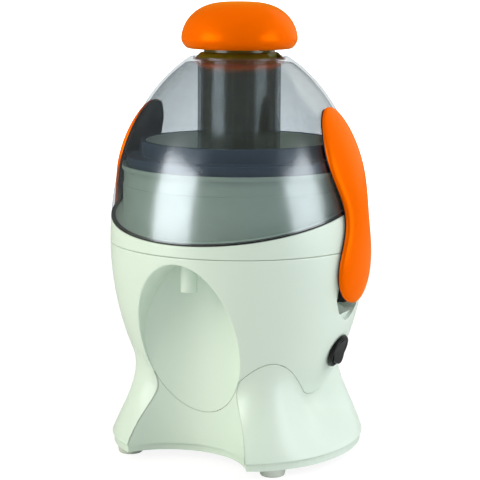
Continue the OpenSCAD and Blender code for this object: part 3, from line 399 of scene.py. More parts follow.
def loft(name, rings, closed=True):
    # joins equal loops of points; closed runs from the last loop to the first, else both ends get a lid
    size = len(rings[0])
    points = [p for ring in rings for p in ring]
    count = len(rings)
    faces = []
    for i in range(count if closed else count - 1):
        low, high = i * size, ((i + 1) % count) * size
        for k in range(size):
            j = (k + 1) % size
            faces.append((low + k, low + j, high + j, high + k))
    if not closed:
        faces.append(tuple(range(size)))
        faces.append(tuple(range((count - 1) * size, count * size)))
    return buildMesh(name, points, faces)


def carve(piece, tool, how="DIFFERENCE"):
    step = piece.modifiers.new("carve", "BOOLEAN")
    step.operation, step.solver, step.object = how, "MANIFOLD", tool
    depsgraph = bpy.context.evaluated_depsgraph_get()
    mesh = bpy.data.meshes.new_from_object(piece.evaluated_get(depsgraph), depsgraph=depsgraph)
    piece.modifiers.clear()
    before = piece.data
    piece.data = mesh
    bpy.data.meshes.remove(before)
    spent = tool.data
    bpy.data.objects.remove(tool)
    bpy.data.meshes.remove(spent)
    return piece


def addTo(piece, tool):
    return carve(piece, tool, "UNION")


def keepIn(piece, tool):
    return carve(piece, tool, "INTERSECT")


def mirrored(piece, name):
    twin = piece.copy()
    twin.data = piece.data.copy()
    twin.name = twin.data.name = name
    scene.collection.objects.link(twin)
    work = bmesh.new()
    work.from_mesh(twin.data)
    for vertex in work.verts:
        vertex.co.x *= -1
    bmesh.ops.reverse_faces(work, faces=work.faces)
    work.to_mesh(twin.data)
    work.free()
    return twin


def block(name, low, high):
    points = [(x, y, z) for x in (low[0], high[0]) for y in (low[1], high[1]) for z in (low[2], high[2])]
    faces = [(0, 1, 3, 2), (4, 6, 7, 5), (0, 4, 5, 1), (2, 3, 7, 6), (0, 2, 6, 4), (1, 5, 7, 3)]
    return buildMesh(name, points, faces)


def placed(piece, x, y, z, turn, axis):
    # turns a piece about an axis through the origin, then moves it
    shift = Matrix.Translation((x * mm, y * mm, z * mm))
    piece.data.transform(shift @ Matrix.Rotation(math.radians(turn), 4, axis))
    return piece


def roundedProfile(corners, bend=4):
    # corners are (radius, height, fillet); each corner with a fillet becomes an arc
    out = []
    for i, (x, y, fillet) in enumerate(corners):
        if fillet <= 0:
            out.append((x, y))
            continue
        here = Vector((x, y))
        before = Vector(corners[i - 1][:2]) - here
        after = Vector(corners[(i + 1) % len(corners)][:2]) - here
        reach = min(fillet, before.length * 0.48, after.length * 0.48)
        first, last = here + before.normalized() * reach, here + after.normalized() * reach
        for t in steps(0, 1, bend):
            p = first * (1 - t) ** 2 + here * 2 * t * (1 - t) + last * t ** 2
            out.append((p.x, p.y))
    return out


def roundOver(piece, edge, along, inward, radius, closed=True, bend=4):
    # rounds a convex edge: edge points, the way along the outer face and the way into the cut
    rings = []
    overlap = 0.05  # the tool's arc starts and ends this far outside the piece
    turns = steps(0, math.pi / 2, bend)
    for point, outer, inner in zip(edge, along, inward):
        here, face, cut = Vector(point), Vector(outer).normalized(), Vector(inner).normalized()
        middle = here + (face + cut) * radius
        ring = [middle - radius * (cut * math.cos(f) + face * math.sin(f)) for f in turns]
        ring[0] += (face * 0.6 - cut) * overlap
        ring[-1] += (cut * 0.6 - face) * overlap
        ring += [here - (face * a + cut * b) * radius for a, b in ((0.2, 1), (1, 1), (1, 0.2))]
        rings.append([tuple(p) for p in ring])
    return carve(piece, loft("edgeTool", rings, closed))


def settle(piece, body, finish, *stands, sharp=38):
    # smooth shading with crisp corners, a finish, a body to ride on and the nodes it stands for
    piece.data.shade_smooth()
    piece.data.set_sharp_from_angle(angle=math.radians(sharp))
    piece.data.materials.clear()
    piece.data.materials.append(finishes[finish])
    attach(piece, body)
    if stands:
        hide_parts(*stands)
    return piece


# the egg and the base's wavy joint
eggForm = {"radius": 88, "middle": 148, "up": 132, "down": 140}
jointForm = {"level": 145.3, "gap": 0.3, "skin": 2.6, "deck": 2.7}
baseForm = {
    "lobe": 88, "draw": 2, "bottom": 10.4, "flare": 0.9, "waveLow": 43.5, "waveRise": 30.3, "waveSharp": 1.5,
    "rows": 46, "around": 360,
}
nicheForm = {
    "radius": 51, "centre": 100.2, "ovalWidth": 36.5, "ovalHeight": 53.2, "ovalMiddle": 87.2, "meets": 61,
    "edge": 0.9,
}
tiltForm = {"angle": 12.8, "level": 173.6}  # the joint between lid and bowl, higher at the back
baseTurns = steps(0, 2 * math.pi, baseForm["around"])[:-1]


def eggRadius(z):
    e = eggForm
    reach = e["up"] if z > e["middle"] else e["down"]
    return e["radius"] * math.sqrt(max(0, 1 - ((z - e["middle"]) / reach) ** 2))


def eggSlope(z):
    return eggRadius(z + 0.5) - eggRadius(z - 0.5)


def eggInside(z, depth):
    return eggRadius(z) - depth * math.sqrt(1 + eggSlope(z) ** 2)


def waveHeight(angle):
    # highest halfway between the four lobes' hollows
    swell = (1 + math.cos(4 * (angle - math.pi / 4))) / 2
    return baseForm["waveLow"] + baseForm["waveRise"] * swell ** baseForm["waveSharp"]


def skirtTop(angle):
    return waveHeight(angle) - jointForm["gap"] / 2


def lobeRadius(angle):
    return baseForm["lobe"] - baseForm["draw"] * (1 - math.cos(4 * (angle - math.pi / 4))) / 2


def baseRadius(angle, t):
    # leaves the bottom edge with a slight flare and meets the egg without a kink at the wavy joint
    height = waveHeight(angle)
    fall = eggRadius(height) - lobeRadius(angle)
    leave = baseForm["flare"]
    arrive = eggSlope(height) * (height - baseForm["bottom"]) / fall
    way = leave * (t ** 3 - 2 * t ** 2 + t) + (3 * t ** 2 - 2 * t ** 3) + arrive * (t ** 3 - t ** 2)
    return lobeRadius(angle) + fall * way


def atAngle(radius, angle, z):
    return (radius * math.cos(angle), radius * math.sin(angle), z)


def eggSolid(name, z0, z1, depth=0.0, rows=60):
    return lathe(name, [(0, z0)] + [(eggInside(z, depth), z) for z in steps(z0, z1, rows)] + [(0, z1)])


def nicheBore(name, radius, z0, z1):
    side = [(radius, z) for z in steps(z0, z1, max(4, int((z1 - z0) / 2)))]
    return lathe(name, [(0, z0)] + side + [(0, z1)], 300, (0, -nicheForm["centre"]))


def ovalPrism(name, grow, far=133.0):
    n = nicheForm
    near = n["centre"] - n["radius"] - 2 * jointForm["skin"]
    wide, tall = n["ovalWidth"] + grow, n["ovalHeight"] + grow
    turns = steps(0, 2 * math.pi, 240)[:-1]
    oval = [(wide * math.cos(a), n["ovalMiddle"] + tall * math.sin(a)) for a in turns]
    return loft(name, [[(x, -y, z) for x, z in oval] for y in steps(near, far, int((far - near) / 2))], False)


def waveBlock(name, lift):
    # all that lies below the wavy joint, raised by lift, outside a core of radius near
    near, far = 20, 120
    rings = []
    for a in baseTurns:
        edge, top = baseRadius(a, 1), waveHeight(a) + lift
        section = [(near, 0), (far, 0), (far, top), (edge, top), (edge - jointForm["skin"], top), (near, top)]
        rings.append([atAngle(r, a, z) for r, z in section])
    return loft(name, rings)


def tiltedBlock(name, lift, above=True):
    # all that lies above or below the joint between lid and bowl, raised by lift
    far = 200
    piece = block(name, (-far, -far, 0 if above else -far), (far, far, far if above else 0))
    return placed(piece, 0, 0, tiltForm["level"] + lift, tiltForm["angle"], "X")


# base skirt
skirtEdges = {"bottomRound": 0.9, "seamRound": 0.45, "glandHole": 6.1, "glandHeight": 22}


def skirtLoop(angle):
    # the wall's section at one angle: up the outside with both edges rounded, then down the inside
    top, bottom = skirtTop(angle), baseForm["bottom"]
    foot, lip = skirtEdges["bottomRound"], skirtEdges["seamRound"]
    heights = [bottom + foot * s for s in (0, 0.08, 0.3, 0.62, 1)]
    heights += steps(bottom + 1.6, top - 1.2, baseForm["rows"])
    heights += [top - lip * s for s in (1, 0.6, 0.28, 0.07, 0)]
    loop = []
    for z in heights:
        low, high = max(0, 1 - (z - bottom) / foot), max(0, 1 - (top - z) / lip)
        inset = foot * (1 - math.sqrt(1 - low ** 2)) + lip * (1 - math.sqrt(1 - high ** 2))
        loop.append((baseRadius(angle, (z - bottom) / (top - bottom)) - inset, z))
    for z in steps(top, bottom, 16):
        loop.append((baseRadius(angle, (z - bottom) / (top - bottom)) - jointForm["skin"], z))
    return [atAngle(r, angle, z) for r, z in loop]


def skirtCore(name):
    # the room inside the skirt's wall, up to the wavy joint
    bottom, rows, size = baseForm["bottom"], 24, baseForm["around"]
    points, faces = [], []
    for t in steps(0, 1, rows):
        for a in baseTurns:
            height = bottom + (skirtTop(a) - bottom) * t
            points.append(atAngle(baseRadius(a, t) - jointForm["skin"] / 2, a, height))
    for i in range(rows):
        for k in range(size):
            j = (k + 1) % size
            faces.append((i * size + k, i * size + j, (i + 1) * size + j, (i + 1) * size + k))
    points += [(0, 0, bottom), (0, 0, baseForm["waveLow"])]
    last = rows * size
    for k in range(size):
        j = (k + 1) % size
        faces.append((len(points) - 2, j, k))
        faces.append((len(points) - 1, last + k, last + j))
    return buildMesh(name, points, faces)


def skirtCrossing(z):
    # where the hollow leaves the skirt at height z, on the +X side
    low, high = 0.0, math.pi / 2
    n = nicheForm
    for _ in range(40):
        turn = (low + high) / 2
        x, y = n["radius"] * math.sin(turn), -n["centre"] + n["radius"] * math.cos(turn)
        angle = math.atan2(y, x)
        share = (z - baseForm["bottom"]) / (skirtTop(angle) - baseForm["bottom"])
        if math.hypot(x, y) < baseRadius(angle, share):
            low = turn
        else:
            high = turn
    return x, y, angle


def makeSkirt():
    n, skin = nicheForm, jointForm["skin"]
    skirt = loft("baseSkirt", [skirtLoop(a) for a in baseTurns])
    wall = nicheBore("wallTool", n["radius"] + skin, -1, 90)
    carve(wall, nicheBore("holeTool", n["radius"], -2, 91))
    addTo(skirt, keepIn(wall, skirtCore("coreTool")))
    carve(skirt, nicheBore("holeTool", n["radius"], -2, 91))
    panel = ovalPrism("panelTool", jointForm["gap"] / 2)
    carve(skirt, keepIn(panel, nicheBore("boundTool", n["radius"] + skin + 0.01, 0, n["ovalMiddle"])))
    edge, along, inward = [], [], []
    for z in steps(baseForm["bottom"] - 1, 62, 60):
        x, y, angle = skirtCrossing(z)
        edge.append((x, y, z))
        along.append((-math.sin(angle), math.cos(angle), 0))
        fromAxis = Vector((x, y + n["centre"], 0)).normalized()
        inward.append((-fromAxis.y, fromAxis.x, 0))
    roundOver(skirt, edge, along, inward, n["edge"], False)
    edge, along, inward = [[(-x, y, z) for x, y, z in rows] for rows in (edge, along, inward)]
    roundOver(skirt, edge, along, inward, n["edge"], False)
    hole = disc("glandTool", skirtEdges["glandHole"], 0, 60, 64)
    carve(skirt, placed(hole, 0, 50, skirtEdges["glandHeight"], -90, "X"))
    return settle(skirt, "motor_base", "ivory_plastic", "base_skirt")


makeSkirt()
print("base skirt built")

# motor housing
housingForm = {
    "jointRound": 0.5, "seamRound": 0.45, "rows": 90, "spoutHole": 6.0, "sealHole": 9.6, "switchHole": 10.1,
    "switchHeight": 75,
}
spoutForm = {"radius": 5.4, "wall": 1.3, "front": 69.54, "mouth": 120}
recessForm = {
    "pinX": 79.504, "pinZ": 114.5, "pin": 2, "half": 15.44, "depth": 5, "low": 96.8, "high": 120.5,
    "wide": 20.3, "swing": 7.0, "play": 0.3,
}
# the leaf-shaped dent's half width at each height
recessHalf = [
    (0.0, 96.8), (3.6, 97.9), (6.3, 99.4), (9.3, 101.1), (12.2, 102.9), (14.2, 105.3), (15.4, 107.6),
    (17.0, 110.2), (18.6, 113.4), (19.8, 117.0), (20.3, 120.5),
]


def leafPrism(name, grow):
    right = [(w + (grow if w > 0 else 0), z - grow * (1 - w / recessForm["wide"])) for w, z in recessHalf]
    right[-1] = (right[-1][0], recessForm["high"] + grow)
    outline = right + [(-w, z) for w, z in reversed(right) if w > 0]
    return loft(name, [[(x, y, z) for y, z in outline] for x in (40, 130)], False)


def recessTool(name, grow):
    # a shallow dent with a flat floor, and the round pocket that the latch's foot swings into
    f = recessForm
    reach = eggRadius(f["pinZ"]) + f["swing"] - f["pinX"] + grow
    half = f["half"] + grow
    pocket = placed(disc(name + "Round", reach, -half, half, 120), f["pinX"], 0, f["pinZ"], 90, "X")
    start = eggRadius(f["low"]) - f["depth"] / 2
    end = start + (f["pinX"] + f["pin"] + 1 - start) * (f["high"] - f["low"]) / (f["pinZ"] - f["low"])
    low, high, far = f["low"] - grow, f["high"] + grow, 108
    section = [(start - grow, low), (far, low), (far, high), (end - grow, high)]
    addTo(pocket, loft(name + "Dent", [[(x, y, z) for x, z in section] for y in (-50, 50)], False))
    return keepIn(leafPrism(name, grow), pocket)


def onSide(piece, side):
    # the piece itself on the right, its mirror image on the left
    if side > 0:
        return piece
    twin = mirrored(piece, piece.name + "Left")
    bpy.data.objects.remove(piece)
    return twin


def housingProfile():
    top, low = jointForm["level"] - jointForm["gap"] / 2, 41.5  # low lies below the wavy joint
    bend = housingForm["jointRound"]
    profile = [(eggRadius(z), z) for z in steps(low, top - bend, housingForm["rows"])]
    for turn in steps(0, math.pi / 2, 4)[1:]:
        profile.append((eggRadius(top) - bend * (1 - math.cos(turn)), top - bend + bend * math.sin(turn)))
    under = top - jointForm["deck"]
    profile += [(0, top), (0, under)]
    return profile + [(eggInside(z, jointForm["skin"]), z) for z in steps(under, low, 40)]


def makeHousing():
    n, h, skin, gap = nicheForm, housingForm, jointForm["skin"], jointForm["gap"]
    housing = lathe("motorHousing", housingProfile(), 360)
    under = jointForm["level"] - gap / 2 - jointForm["deck"] + 0.01
    low = n["meets"] - 1
    rim = ovalPrism("rimTool", skin)
    keepIn(rim, nicheBore("rimBore", n["radius"] + skin, low, under))
    keepIn(rim, eggSolid("rimEgg", low, under, 0.3))
    addTo(housing, rim)
    carve(housing, waveBlock("waveTool", gap / 2))
    for side in (1, -1):
        backing = recessTool("backing", skin)
        keepIn(backing, eggSolid("backingEgg", 83, 142, skin / 2, 30))
        addTo(housing, onSide(backing, side))
    hollow = ovalPrism("hollowTool", 0)
    keepIn(hollow, nicheBore("hollowBore", n["radius"], -1, 200))
    carve(housing, hollow)
    carve(housing, nicheBore("lowTool", n["radius"], 0, n["meets"]))
    panel = ovalPrism("lowerPanel", -gap / 2, n["centre"])
    ring = nicheBore("ringTool", n["radius"] + skin, 0, n["meets"] + 1)
    carve(ring, nicheBore("ringHole", n["radius"], -1, n["meets"] + 2))
    addTo(housing, keepIn(panel, ring))
    for side in (1, -1):
        carve(housing, onSide(recessTool("pocket", recessForm["play"]), side))
    carve(housing, disc("spoutTool", h["spoutHole"], 120, 160, 64, (0, -spoutForm["front"])))
    carve(housing, disc("sealTool", h["sealHole"], 120, 160, 64))
    hole = disc("switchTool", h["switchHole"], -20, 20, 96)
    hole.data.transform(switchFrame())
    carve(housing, hole)
    # rounded rim of the oval opening
    edge, along, inward = [], [], []
    wide, tall, middle = n["ovalWidth"], n["ovalHeight"], n["ovalMiddle"]
    lowest = math.asin((n["meets"] + 0.2 - middle) / tall)
    for a in steps(lowest, math.pi - lowest, 260):
        x, z = wide * math.cos(a), middle + tall * math.sin(a)
        y = -math.sqrt(eggRadius(z) ** 2 - x ** 2)
        normal = Vector((x, y, -eggSlope(z) * eggRadius(z))).normalized()
        outward = Vector((math.cos(a) / wide, 0, math.sin(a) / tall)).normalized()
        edge.append((x, y, z))
        along.append(tuple(outward - normal * outward.dot(normal)))
        inward.append((0, 1, 0))
    roundOver(housing, edge, along, inward, n["edge"], False)
    # softened lip along the wavy joint
    edge, along, inward = [], [], []
    for a in baseTurns:
        z = waveHeight(a) + gap / 2
        edge.append(atAngle(eggRadius(z), a, z))
        along.append(atAngle(eggSlope(z), a, 1))
        inward.append(atAngle(-1, a, 0))
    roundOver(housing, edge, along, inward, h["seamRound"], True, 3)
    return settle(housing, "motor_base", "ivory_plastic", "motor_housing")


def switchFrame():
    # from the switch's own axes (Z out of the egg) to the machine's
    z = housingForm["switchHeight"]
    lean = math.radians(90) + math.atan(eggSlope(z))
    return Matrix.Translation((eggRadius(z) * mm, 0, z * mm)) @ Matrix.Rotation(lean, 4, "Y")


makeHousing()
print("motor housing built")

# bottom cover's feet
footForm = {
    "height": 5.4, "top": 9.0, "bottom": 8.0, "dimple": 4.5, "hollow": 0.8, "round": 0.9, "place": 54.52,
}


def makeFeet():
    f = footForm
    pad = roundedProfile([
        (0, f["hollow"], 0), (f["dimple"], f["hollow"], 0.3), (f["dimple"] + f["hollow"], 0, 0.2),
        (f["bottom"], 0, f["round"]), (f["top"], f["height"], 0.4), (0, f["height"], 0)])
    # the stem snaps through the cover, with a barb above it
    barb = roundedProfile([
        (0, 5.2, 0), (3.5, 5.2, 0), (3.5, 8.0, 0), (4.4, 8.05, 0.3), (2.6, 9.4, 0.3), (0, 9.4, 0)])
    parts = []
    for x in (-1, 1):
        for y in (-1, 1):
            place = (x * f["place"], y * f["place"])
            parts.append(addTo(lathe("foot", pad, 72, place), lathe("stem", barb, 48, place)))
    feet = parts[0]
    for other in parts[1:]:
        addTo(feet, other)
    feet.name = "rubberFeet"
    return settle(feet, "motor_base", "pale_rubber", "rubber_feet")


makeFeet()

# juice bowl
bowlForm = {
    "radius": 79.04, "top": 195.9, "stepHeight": 184.5, "step": 0.7, "wall": 2.6, "chimney": 15.6,
    "chimneyWall": 2.2, "chimneyTop": 155.5, "shelf": 2.4, "sealHalf": 0.6, "highest": 197.6, "lip": 0.5,
}


def makeBowl():
    b = bowlForm
    low, highest, lip = jointForm["level"] + jointForm["gap"] / 2, b["highest"], b["lip"]
    floorTop = low + b["wall"]
    outer = []
    for turn in steps(0, math.pi / 2, 4):
        outer.append((eggRadius(low) - lip * (1 - math.sin(turn)), low + lip * (1 - math.cos(turn))))
    outer += [(eggRadius(z), z) for z in steps(low + lip, highest, 80)[1:]]
    inner = [(eggInside(z, b["wall"]), z) for z in steps(highest, floorTop, 50)]
    flue, above = b["chimney"] + b["chimneyWall"], b["chimneyTop"]
    upper, inside = b["radius"] - b["step"], b["radius"] - b["wall"]
    upright = roundedProfile([
        (b["radius"], floorTop, 0), (b["radius"], b["stepHeight"], 0.25), (upper, b["stepHeight"], 0.25),
        (upper, b["top"], 0.6), (inside, b["top"], 0.6), (inside, floorTop, 2.0),
        (flue, floorTop, 1.6), (flue, above, 0.7), (b["chimney"], above, 0.7), (b["chimney"], low, 0)])
    bowl = lathe("juiceBowl", outer + inner + upright, 360)
    # the egg-shaped outside ends at the tilted joint, the upright wall inside it goes on
    cut = tiltedBlock("cutTool", -b["sealHalf"])
    carve(cut, disc("keepTool", b["radius"] + 0.6, 120, 260, 240))
    carve(bowl, cut)
    shelf = eggSolid("shelf", low, highest, b["wall"] / 2)
    keepIn(shelf, tiltedBlock("shelfTop", -b["sealHalf"], False))
    carve(shelf, tiltedBlock("shelfLow", -b["sealHalf"] - b["shelf"], False))
    carve(shelf, disc("shelfHole", b["radius"] - 1, 120, 260, 240))
    addTo(bowl, shelf)
    s = spoutForm
    bore, mouth, place = s["radius"] - s["wall"], s["mouth"], (0, -s["front"])
    spout = roundedProfile([
        (bore, mouth, 0.5), (s["radius"], mouth, 0.5), (s["radius"], low + 1, 0), (bore, low + 1, 0)])
    addTo(bowl, lathe("spout", spout, 96, place))
    channel = [(0, mouth - 2), (bore, mouth - 2), (bore, floorTop + 0.6)]
    channel += [(s["radius"] + 0.8, floorTop + 2), (0, floorTop + 2)]
    carve(bowl, lathe("spoutHole", channel, 96, place))
    return settle(bowl, "bowl", "ivory_plastic", "juice_bowl")


makeBowl()
print("feet and juice bowl built")

# filter basket's rim
rimForm = {
    "low": 191.9, "shelf": 196.2, "top": 204, "radius": 76.8, "collar": 67.24, "collarTop": 214,
    "inner": 63.6, "skirt": 75.2, "skirtWall": 2, "under": 201.5, "groove": (66.2, 68.0), "web": 201,
}


def makeRim():
    r = rimForm
    skirtIn, near, far = r["skirt"] - r["skirtWall"], *r["groove"]
    # a pale sheet over the collar's inner face: painted light, brighter than the dim inside of the collar is
    # lit
    outer, inner, low, high = r["inner"] - 0.1, r["inner"] - 0.7, 190, r["collarTop"] - 0.6
    paintedLight = [(inner, low), (outer, low), (outer, high), (outer - 0.3, high + 0.2), (inner, high)]
    settle(lathe("collarPaintedLight", paintedLight), "basket", "ivory_plastic")
    profile = roundedProfile([
        (r["inner"], r["web"], 0), (r["inner"], r["collarTop"], 0.8), (r["collar"], r["collarTop"], 0.8),
        (r["collar"] + 0.4, r["top"] + 0.6, 0.4), (r["collar"] + 1.6, r["top"], 0.6),
        (r["radius"], r["top"], 1.2), (r["radius"], r["shelf"], 0.4), (r["skirt"], r["shelf"], 0.3),
        (r["skirt"], r["low"], 0.5), (skirtIn, r["low"], 0.5), (skirtIn, r["under"], 0.5),
        (far, r["under"], 0.3), (far, r["low"], 0.4), (near, r["low"], 0.4), (near, r["web"], 0)])
    return settle(lathe("basketRim", profile[::-1]), "basket", "dark_plastic", "basket_rim")


makeRim()

# lid and its seal
lidForm = {
    "low": 149.6, "wall": 1.8, "tube": 28.2, "tubeWall": 2.2, "tubeLow": 166, "tubeTop": 268.2,
    "domeTop": 270.4, "domeRound": 1.4, "webLow": 266.0, "bead": 31.2, "sealHalf": 0.5, "catch": 196,
    "rib": (221, 240),
}


def makeLid():
    f = lidForm
    inside, top = f["tube"] - f["tubeWall"], f["domeTop"]
    outer = [(eggRadius(z), z) for z in steps(f["low"], top - f["domeRound"], 130)]
    crown = roundedProfile([
        (*outer[-1], 0), (eggRadius(top) + 0.5, top, f["domeRound"]), (f["bead"], top, 0.5),
        (f["bead"], f["tubeTop"], 0.2), (inside, f["tubeTop"], 0.7), (inside, f["tubeLow"], 0.7),
        (f["tube"], f["tubeLow"], 0.7), (f["tube"], f["webLow"], 0.8)])[1:]
    under = [(eggInside(z, f["wall"]), z) for z in steps(f["webLow"], f["low"], 110)]
    lid = lathe("lidDome", outer + crown + under, 360)
    carve(lid, tiltedBlock("lidCut", f["sealHalf"], False))
    root, (low, high) = f["tube"] - 1, f["rib"]
    rib = [(root, high), (f["tube"] + 3.2, low + 0.4), (f["tube"] + 3.0, low - 0.4), (root, low - 0.5)]
    addTo(lid, loft("guideRib", [[(x, y, z) for x, z in rib] for y in (-0.8, 0.8)], False))
    # the ramps that the latches catch on
    z = f["catch"]
    face, root = eggRadius(z), eggRadius(z) - 1.5
    section = [(root, z - 1), (face + 1.3, z - 0.5), (eggRadius(z + 3) - 0.2, z + 3), (root, z + 3)]
    turns = steps(math.radians(-8), math.radians(8), 12)
    for side in (0, math.pi):
        addTo(lid, loft("catchRamp", [[atAngle(r, a + side, h) for r, h in section] for a in turns], False))
    return settle(lid, "lid", "smoky_clear", "lid_dome", sharp=30)


sealForm = {"half": 0.45, "sunk": 0.2, "deep": 2.7}


def makeSeal():
    s = sealForm
    slope = math.tan(math.radians(tiltForm["angle"]))
    # depth below the outside, and height as a share of half the seal's
    section = [
        (s["deep"], -1), (0.6, -1), (0.15, -0.8), (0, -0.4), (0, 0.4), (0.15, 0.8), (0.6, 1), (s["deep"], 1)]
    rings = []
    for a in steps(0, 2 * math.pi, 300)[:-1]:
        z = tiltForm["level"]
        for _ in range(30):
            z = tiltForm["level"] + eggRadius(z) * math.sin(a) * slope
        ring = []
        for depth, lift in section:
            height = z + lift * s["half"] - depth * math.sin(a) * slope
            ring.append(atAngle(eggRadius(height) - s["sunk"] - depth, a, height))
        rings.append(ring)
    return settle(loft("lidSeal", rings), "lid", "black_rubber", "lid_seal")


makeLid()
makeSeal()
print("basket rim, lid and seal built")

# pusher
stemForm = {
    "radius": 24.6, "low": 171.5, "shoulder": 268.5, "flutes": 12, "flute": 3, "fluteOut": 1.6, "base": 3,
    "bore": 20.6, "neck": 24.0, "flange": 30.0, "notch": 8,
}
capForm = {"low": 275.5, "top": 307, "radius": 39.4, "socket": 24.1, "wide": 0.22}


def stemRadius(angle):
    # fluted round bar, with the ridges between the flutes eased
    turn = 2 * math.pi / stemForm["flutes"]
    off = (angle % turn) - turn / 2
    reach = stemForm["radius"] + stemForm["fluteOut"]
    under = stemForm["flute"] ** 2 - (reach * math.sin(off)) ** 2
    if under <= 0:
        return stemForm["radius"]
    return min(stemForm["radius"], reach * math.cos(off) - math.sqrt(under))


def makeStem():
    s = stemForm
    turns = steps(0, 2 * math.pi, 480)[:-1]
    neckTop, shoulder, bottom = capForm["low"] + 1.5, s["shoulder"], s["low"] + s["base"]

    def flutedRing(scale, z):
        return [atAngle(stemRadius(a) * scale, a, z) for a in turns]
    rings = [flutedRing(0.955, s["low"]), flutedRing(0.985, s["low"] + 0.3)]
    rings += [flutedRing(1, z) for z in steps(s["low"] + 1.2, shoulder, 40)]
    outside = roundedProfile([
        (s["flange"] - 0.4, shoulder, 0.4), (s["flange"], shoulder + 0.6, 0.4),
        (s["neck"] + 2.3, capForm["low"] - 2.6, 0.6), (s["neck"], capForm["low"] - 2.5, 0.4),
        (s["neck"], neckTop, 0.4)])
    inside = [(s["bore"] + 0.9, neckTop), (s["bore"], neckTop - 0.7)]
    inside += [(s["bore"], z) for z in (260, 220, bottom + 1)] + [(s["bore"] - 1.2, bottom)]
    rings += [[atAngle(r, a, z) for a in turns] for r, z in outside + inside]
    stem = loft("pusherStem", rings, False)
    low, high = shoulder - 1, capForm["low"] - 0.4
    carve(stem, block("notchTool", (s["radius"], -s["notch"], low), (45, s["notch"], high)))
    return settle(stem, "pusher", "dark_clear", "pusher_stem", sharp=32)


def capEdge(z):
    # tucked in at its foot, widest low down, then one round crown
    wide = capForm["wide"]
    t = (z - capForm["low"]) / (capForm["top"] - capForm["low"])
    crown = max(0, 1 - (max(0, t - wide) / (1 - wide)) ** 1.8) ** (1 / 3)
    return capForm["radius"] * crown * (1 - 0.1 * max(0, 1 - t / wide) ** 2)


def makeCap():
    c = capForm
    low, top, ceiling = c["low"], c["top"], c["low"] + 3.2
    profile = [(c["socket"], ceiling), (c["socket"], low)]
    profile += [(r, low) for r in steps(c["socket"], capEdge(low) - 1.4, 6)[1:]]
    profile += [(capEdge(low) - 0.7, low + 0.12), (capEdge(low + 0.7) - 0.15, low + 0.55)]
    for s in steps(0, 1, 60)[1:-1]:
        z = low + (top - low) * (1 - (1 - s) ** 1.7)
        if z > low + 1.1:
            profile.append((capEdge(z), z))
    r, z = profile[-1]
    profile += [(r * (1 - s), z + (top - z) * (1 - (1 - s) ** 2)) for s in steps(0, 1, 12)[1:]]
    profile += [(0, ceiling)]
    return settle(lathe("pusherCap", profile, 240), "pusher", "orange_plastic", "pusher_cap")


makeStem()
makeCap()
print("pusher built")

# latches
latchForm = {
    "top": 238.5, "low": 109.3, "wideUp": 23.8, "zUp": 203, "wideLow": 23.2, "zLow": 132.5, "waist": 16.1,
    "zWaist": 167, "crown": 6.5, "edge": 3.4, "liner": 1.6, "linerGap": 0.35, "linerInset": 1.2,
}
knuckleForm = {"bore": 2.05, "radius": 4.4, "play": 3.3, "web": 3.5, "window": 13}


def ease(t):
    return (1 - math.cos(math.pi * min(1, max(0, t)))) / 2


def latchHalf(z):
    f = latchForm
    if z > f["zUp"]:
        return f["wideUp"] * math.sqrt(max(0, 1 - ((z - f["zUp"]) / (f["top"] - f["zUp"])) ** 2))
    if z < f["zLow"]:
        return f["wideLow"] * math.sqrt(max(0, 1 - ((f["zLow"] - z) / (f["zLow"] - f["low"])) ** 2))
    if z > f["zWaist"]:
        return f["waist"] + (f["wideUp"] - f["waist"]) * ease((z - f["zWaist"]) / (f["zUp"] - f["zWaist"]))
    return f["waist"] + (f["wideLow"] - f["waist"]) * ease((f["zWaist"] - z) / (f["zWaist"] - f["zLow"]))


def latchShare(y, z):
    # 0 in the middle of the latch and 1 at its rim
    f = latchForm
    if z > f["zUp"]:
        return math.hypot(y / f["wideUp"], (z - f["zUp"]) / (f["top"] - f["zUp"]))
    if z < f["zLow"]:
        return math.hypot(y / f["wideLow"], (f["zLow"] - z) / (f["zLow"] - f["low"]))
    return abs(y) / latchHalf(z)


def onEgg(y, z, height):
    return (math.sqrt((eggRadius(z) + height) ** 2 - y * y), y, z)


def latchSheet(name, inset, outer, under, rows=110, across=44):
    # a shell over the egg inside the latch's outline;
    # outer gives its height from the share of the way to the rim
    f = latchForm
    low, high = f["low"] + inset, f["top"] - inset
    points, faces = [], []
    heights = [low + (high - low) * (1 - math.cos(math.pi * i / rows)) / 2 for i in range(rows + 1)]
    for side in (0, 1):
        for z in heights[1:-1]:
            half = max(0.05, latchHalf(z) - inset)
            for j in range(across + 1):
                y = half * math.sin(-math.pi / 2 + math.pi * j / across)
                points.append(onEgg(y, z, outer(min(1, latchShare(y, z))) if side == 0 else under))
    page, cols, last = (rows - 1) * (across + 1), across + 1, (rows - 2) * (across + 1)
    tip = 2 * page
    for height in (outer(1), under):
        points += [onEgg(0, low, height), onEgg(0, high, height)]
    for side in (0, 1):
        base = side * page
        for i in range(rows - 2):
            for j in range(across):
                p = base + i * cols + j
                faces.append((p, p + cols, p + cols + 1, p + 1))
        for j in range(across):
            faces.append((tip + 2 * side, base + j, base + j + 1))
            faces.append((tip + 2 * side + 1, base + last + j + 1, base + last + j))
    for i in range(rows - 2):
        for j in (0, across):
            p = i * cols + j
            faces.append((p, p + page, p + page + cols, p + cols))
    for j in (0, across):
        faces.append((tip, tip + 2, page + j, j))
        faces.append((tip + 1, last + j, page + last + j, tip + 3))
    return buildMesh(name, points, faces)


def coverHeight(share):
    f = latchForm
    return f["edge"] + (f["crown"] - f["edge"]) * max(0, 1 - share ** 2.6) ** 0.5


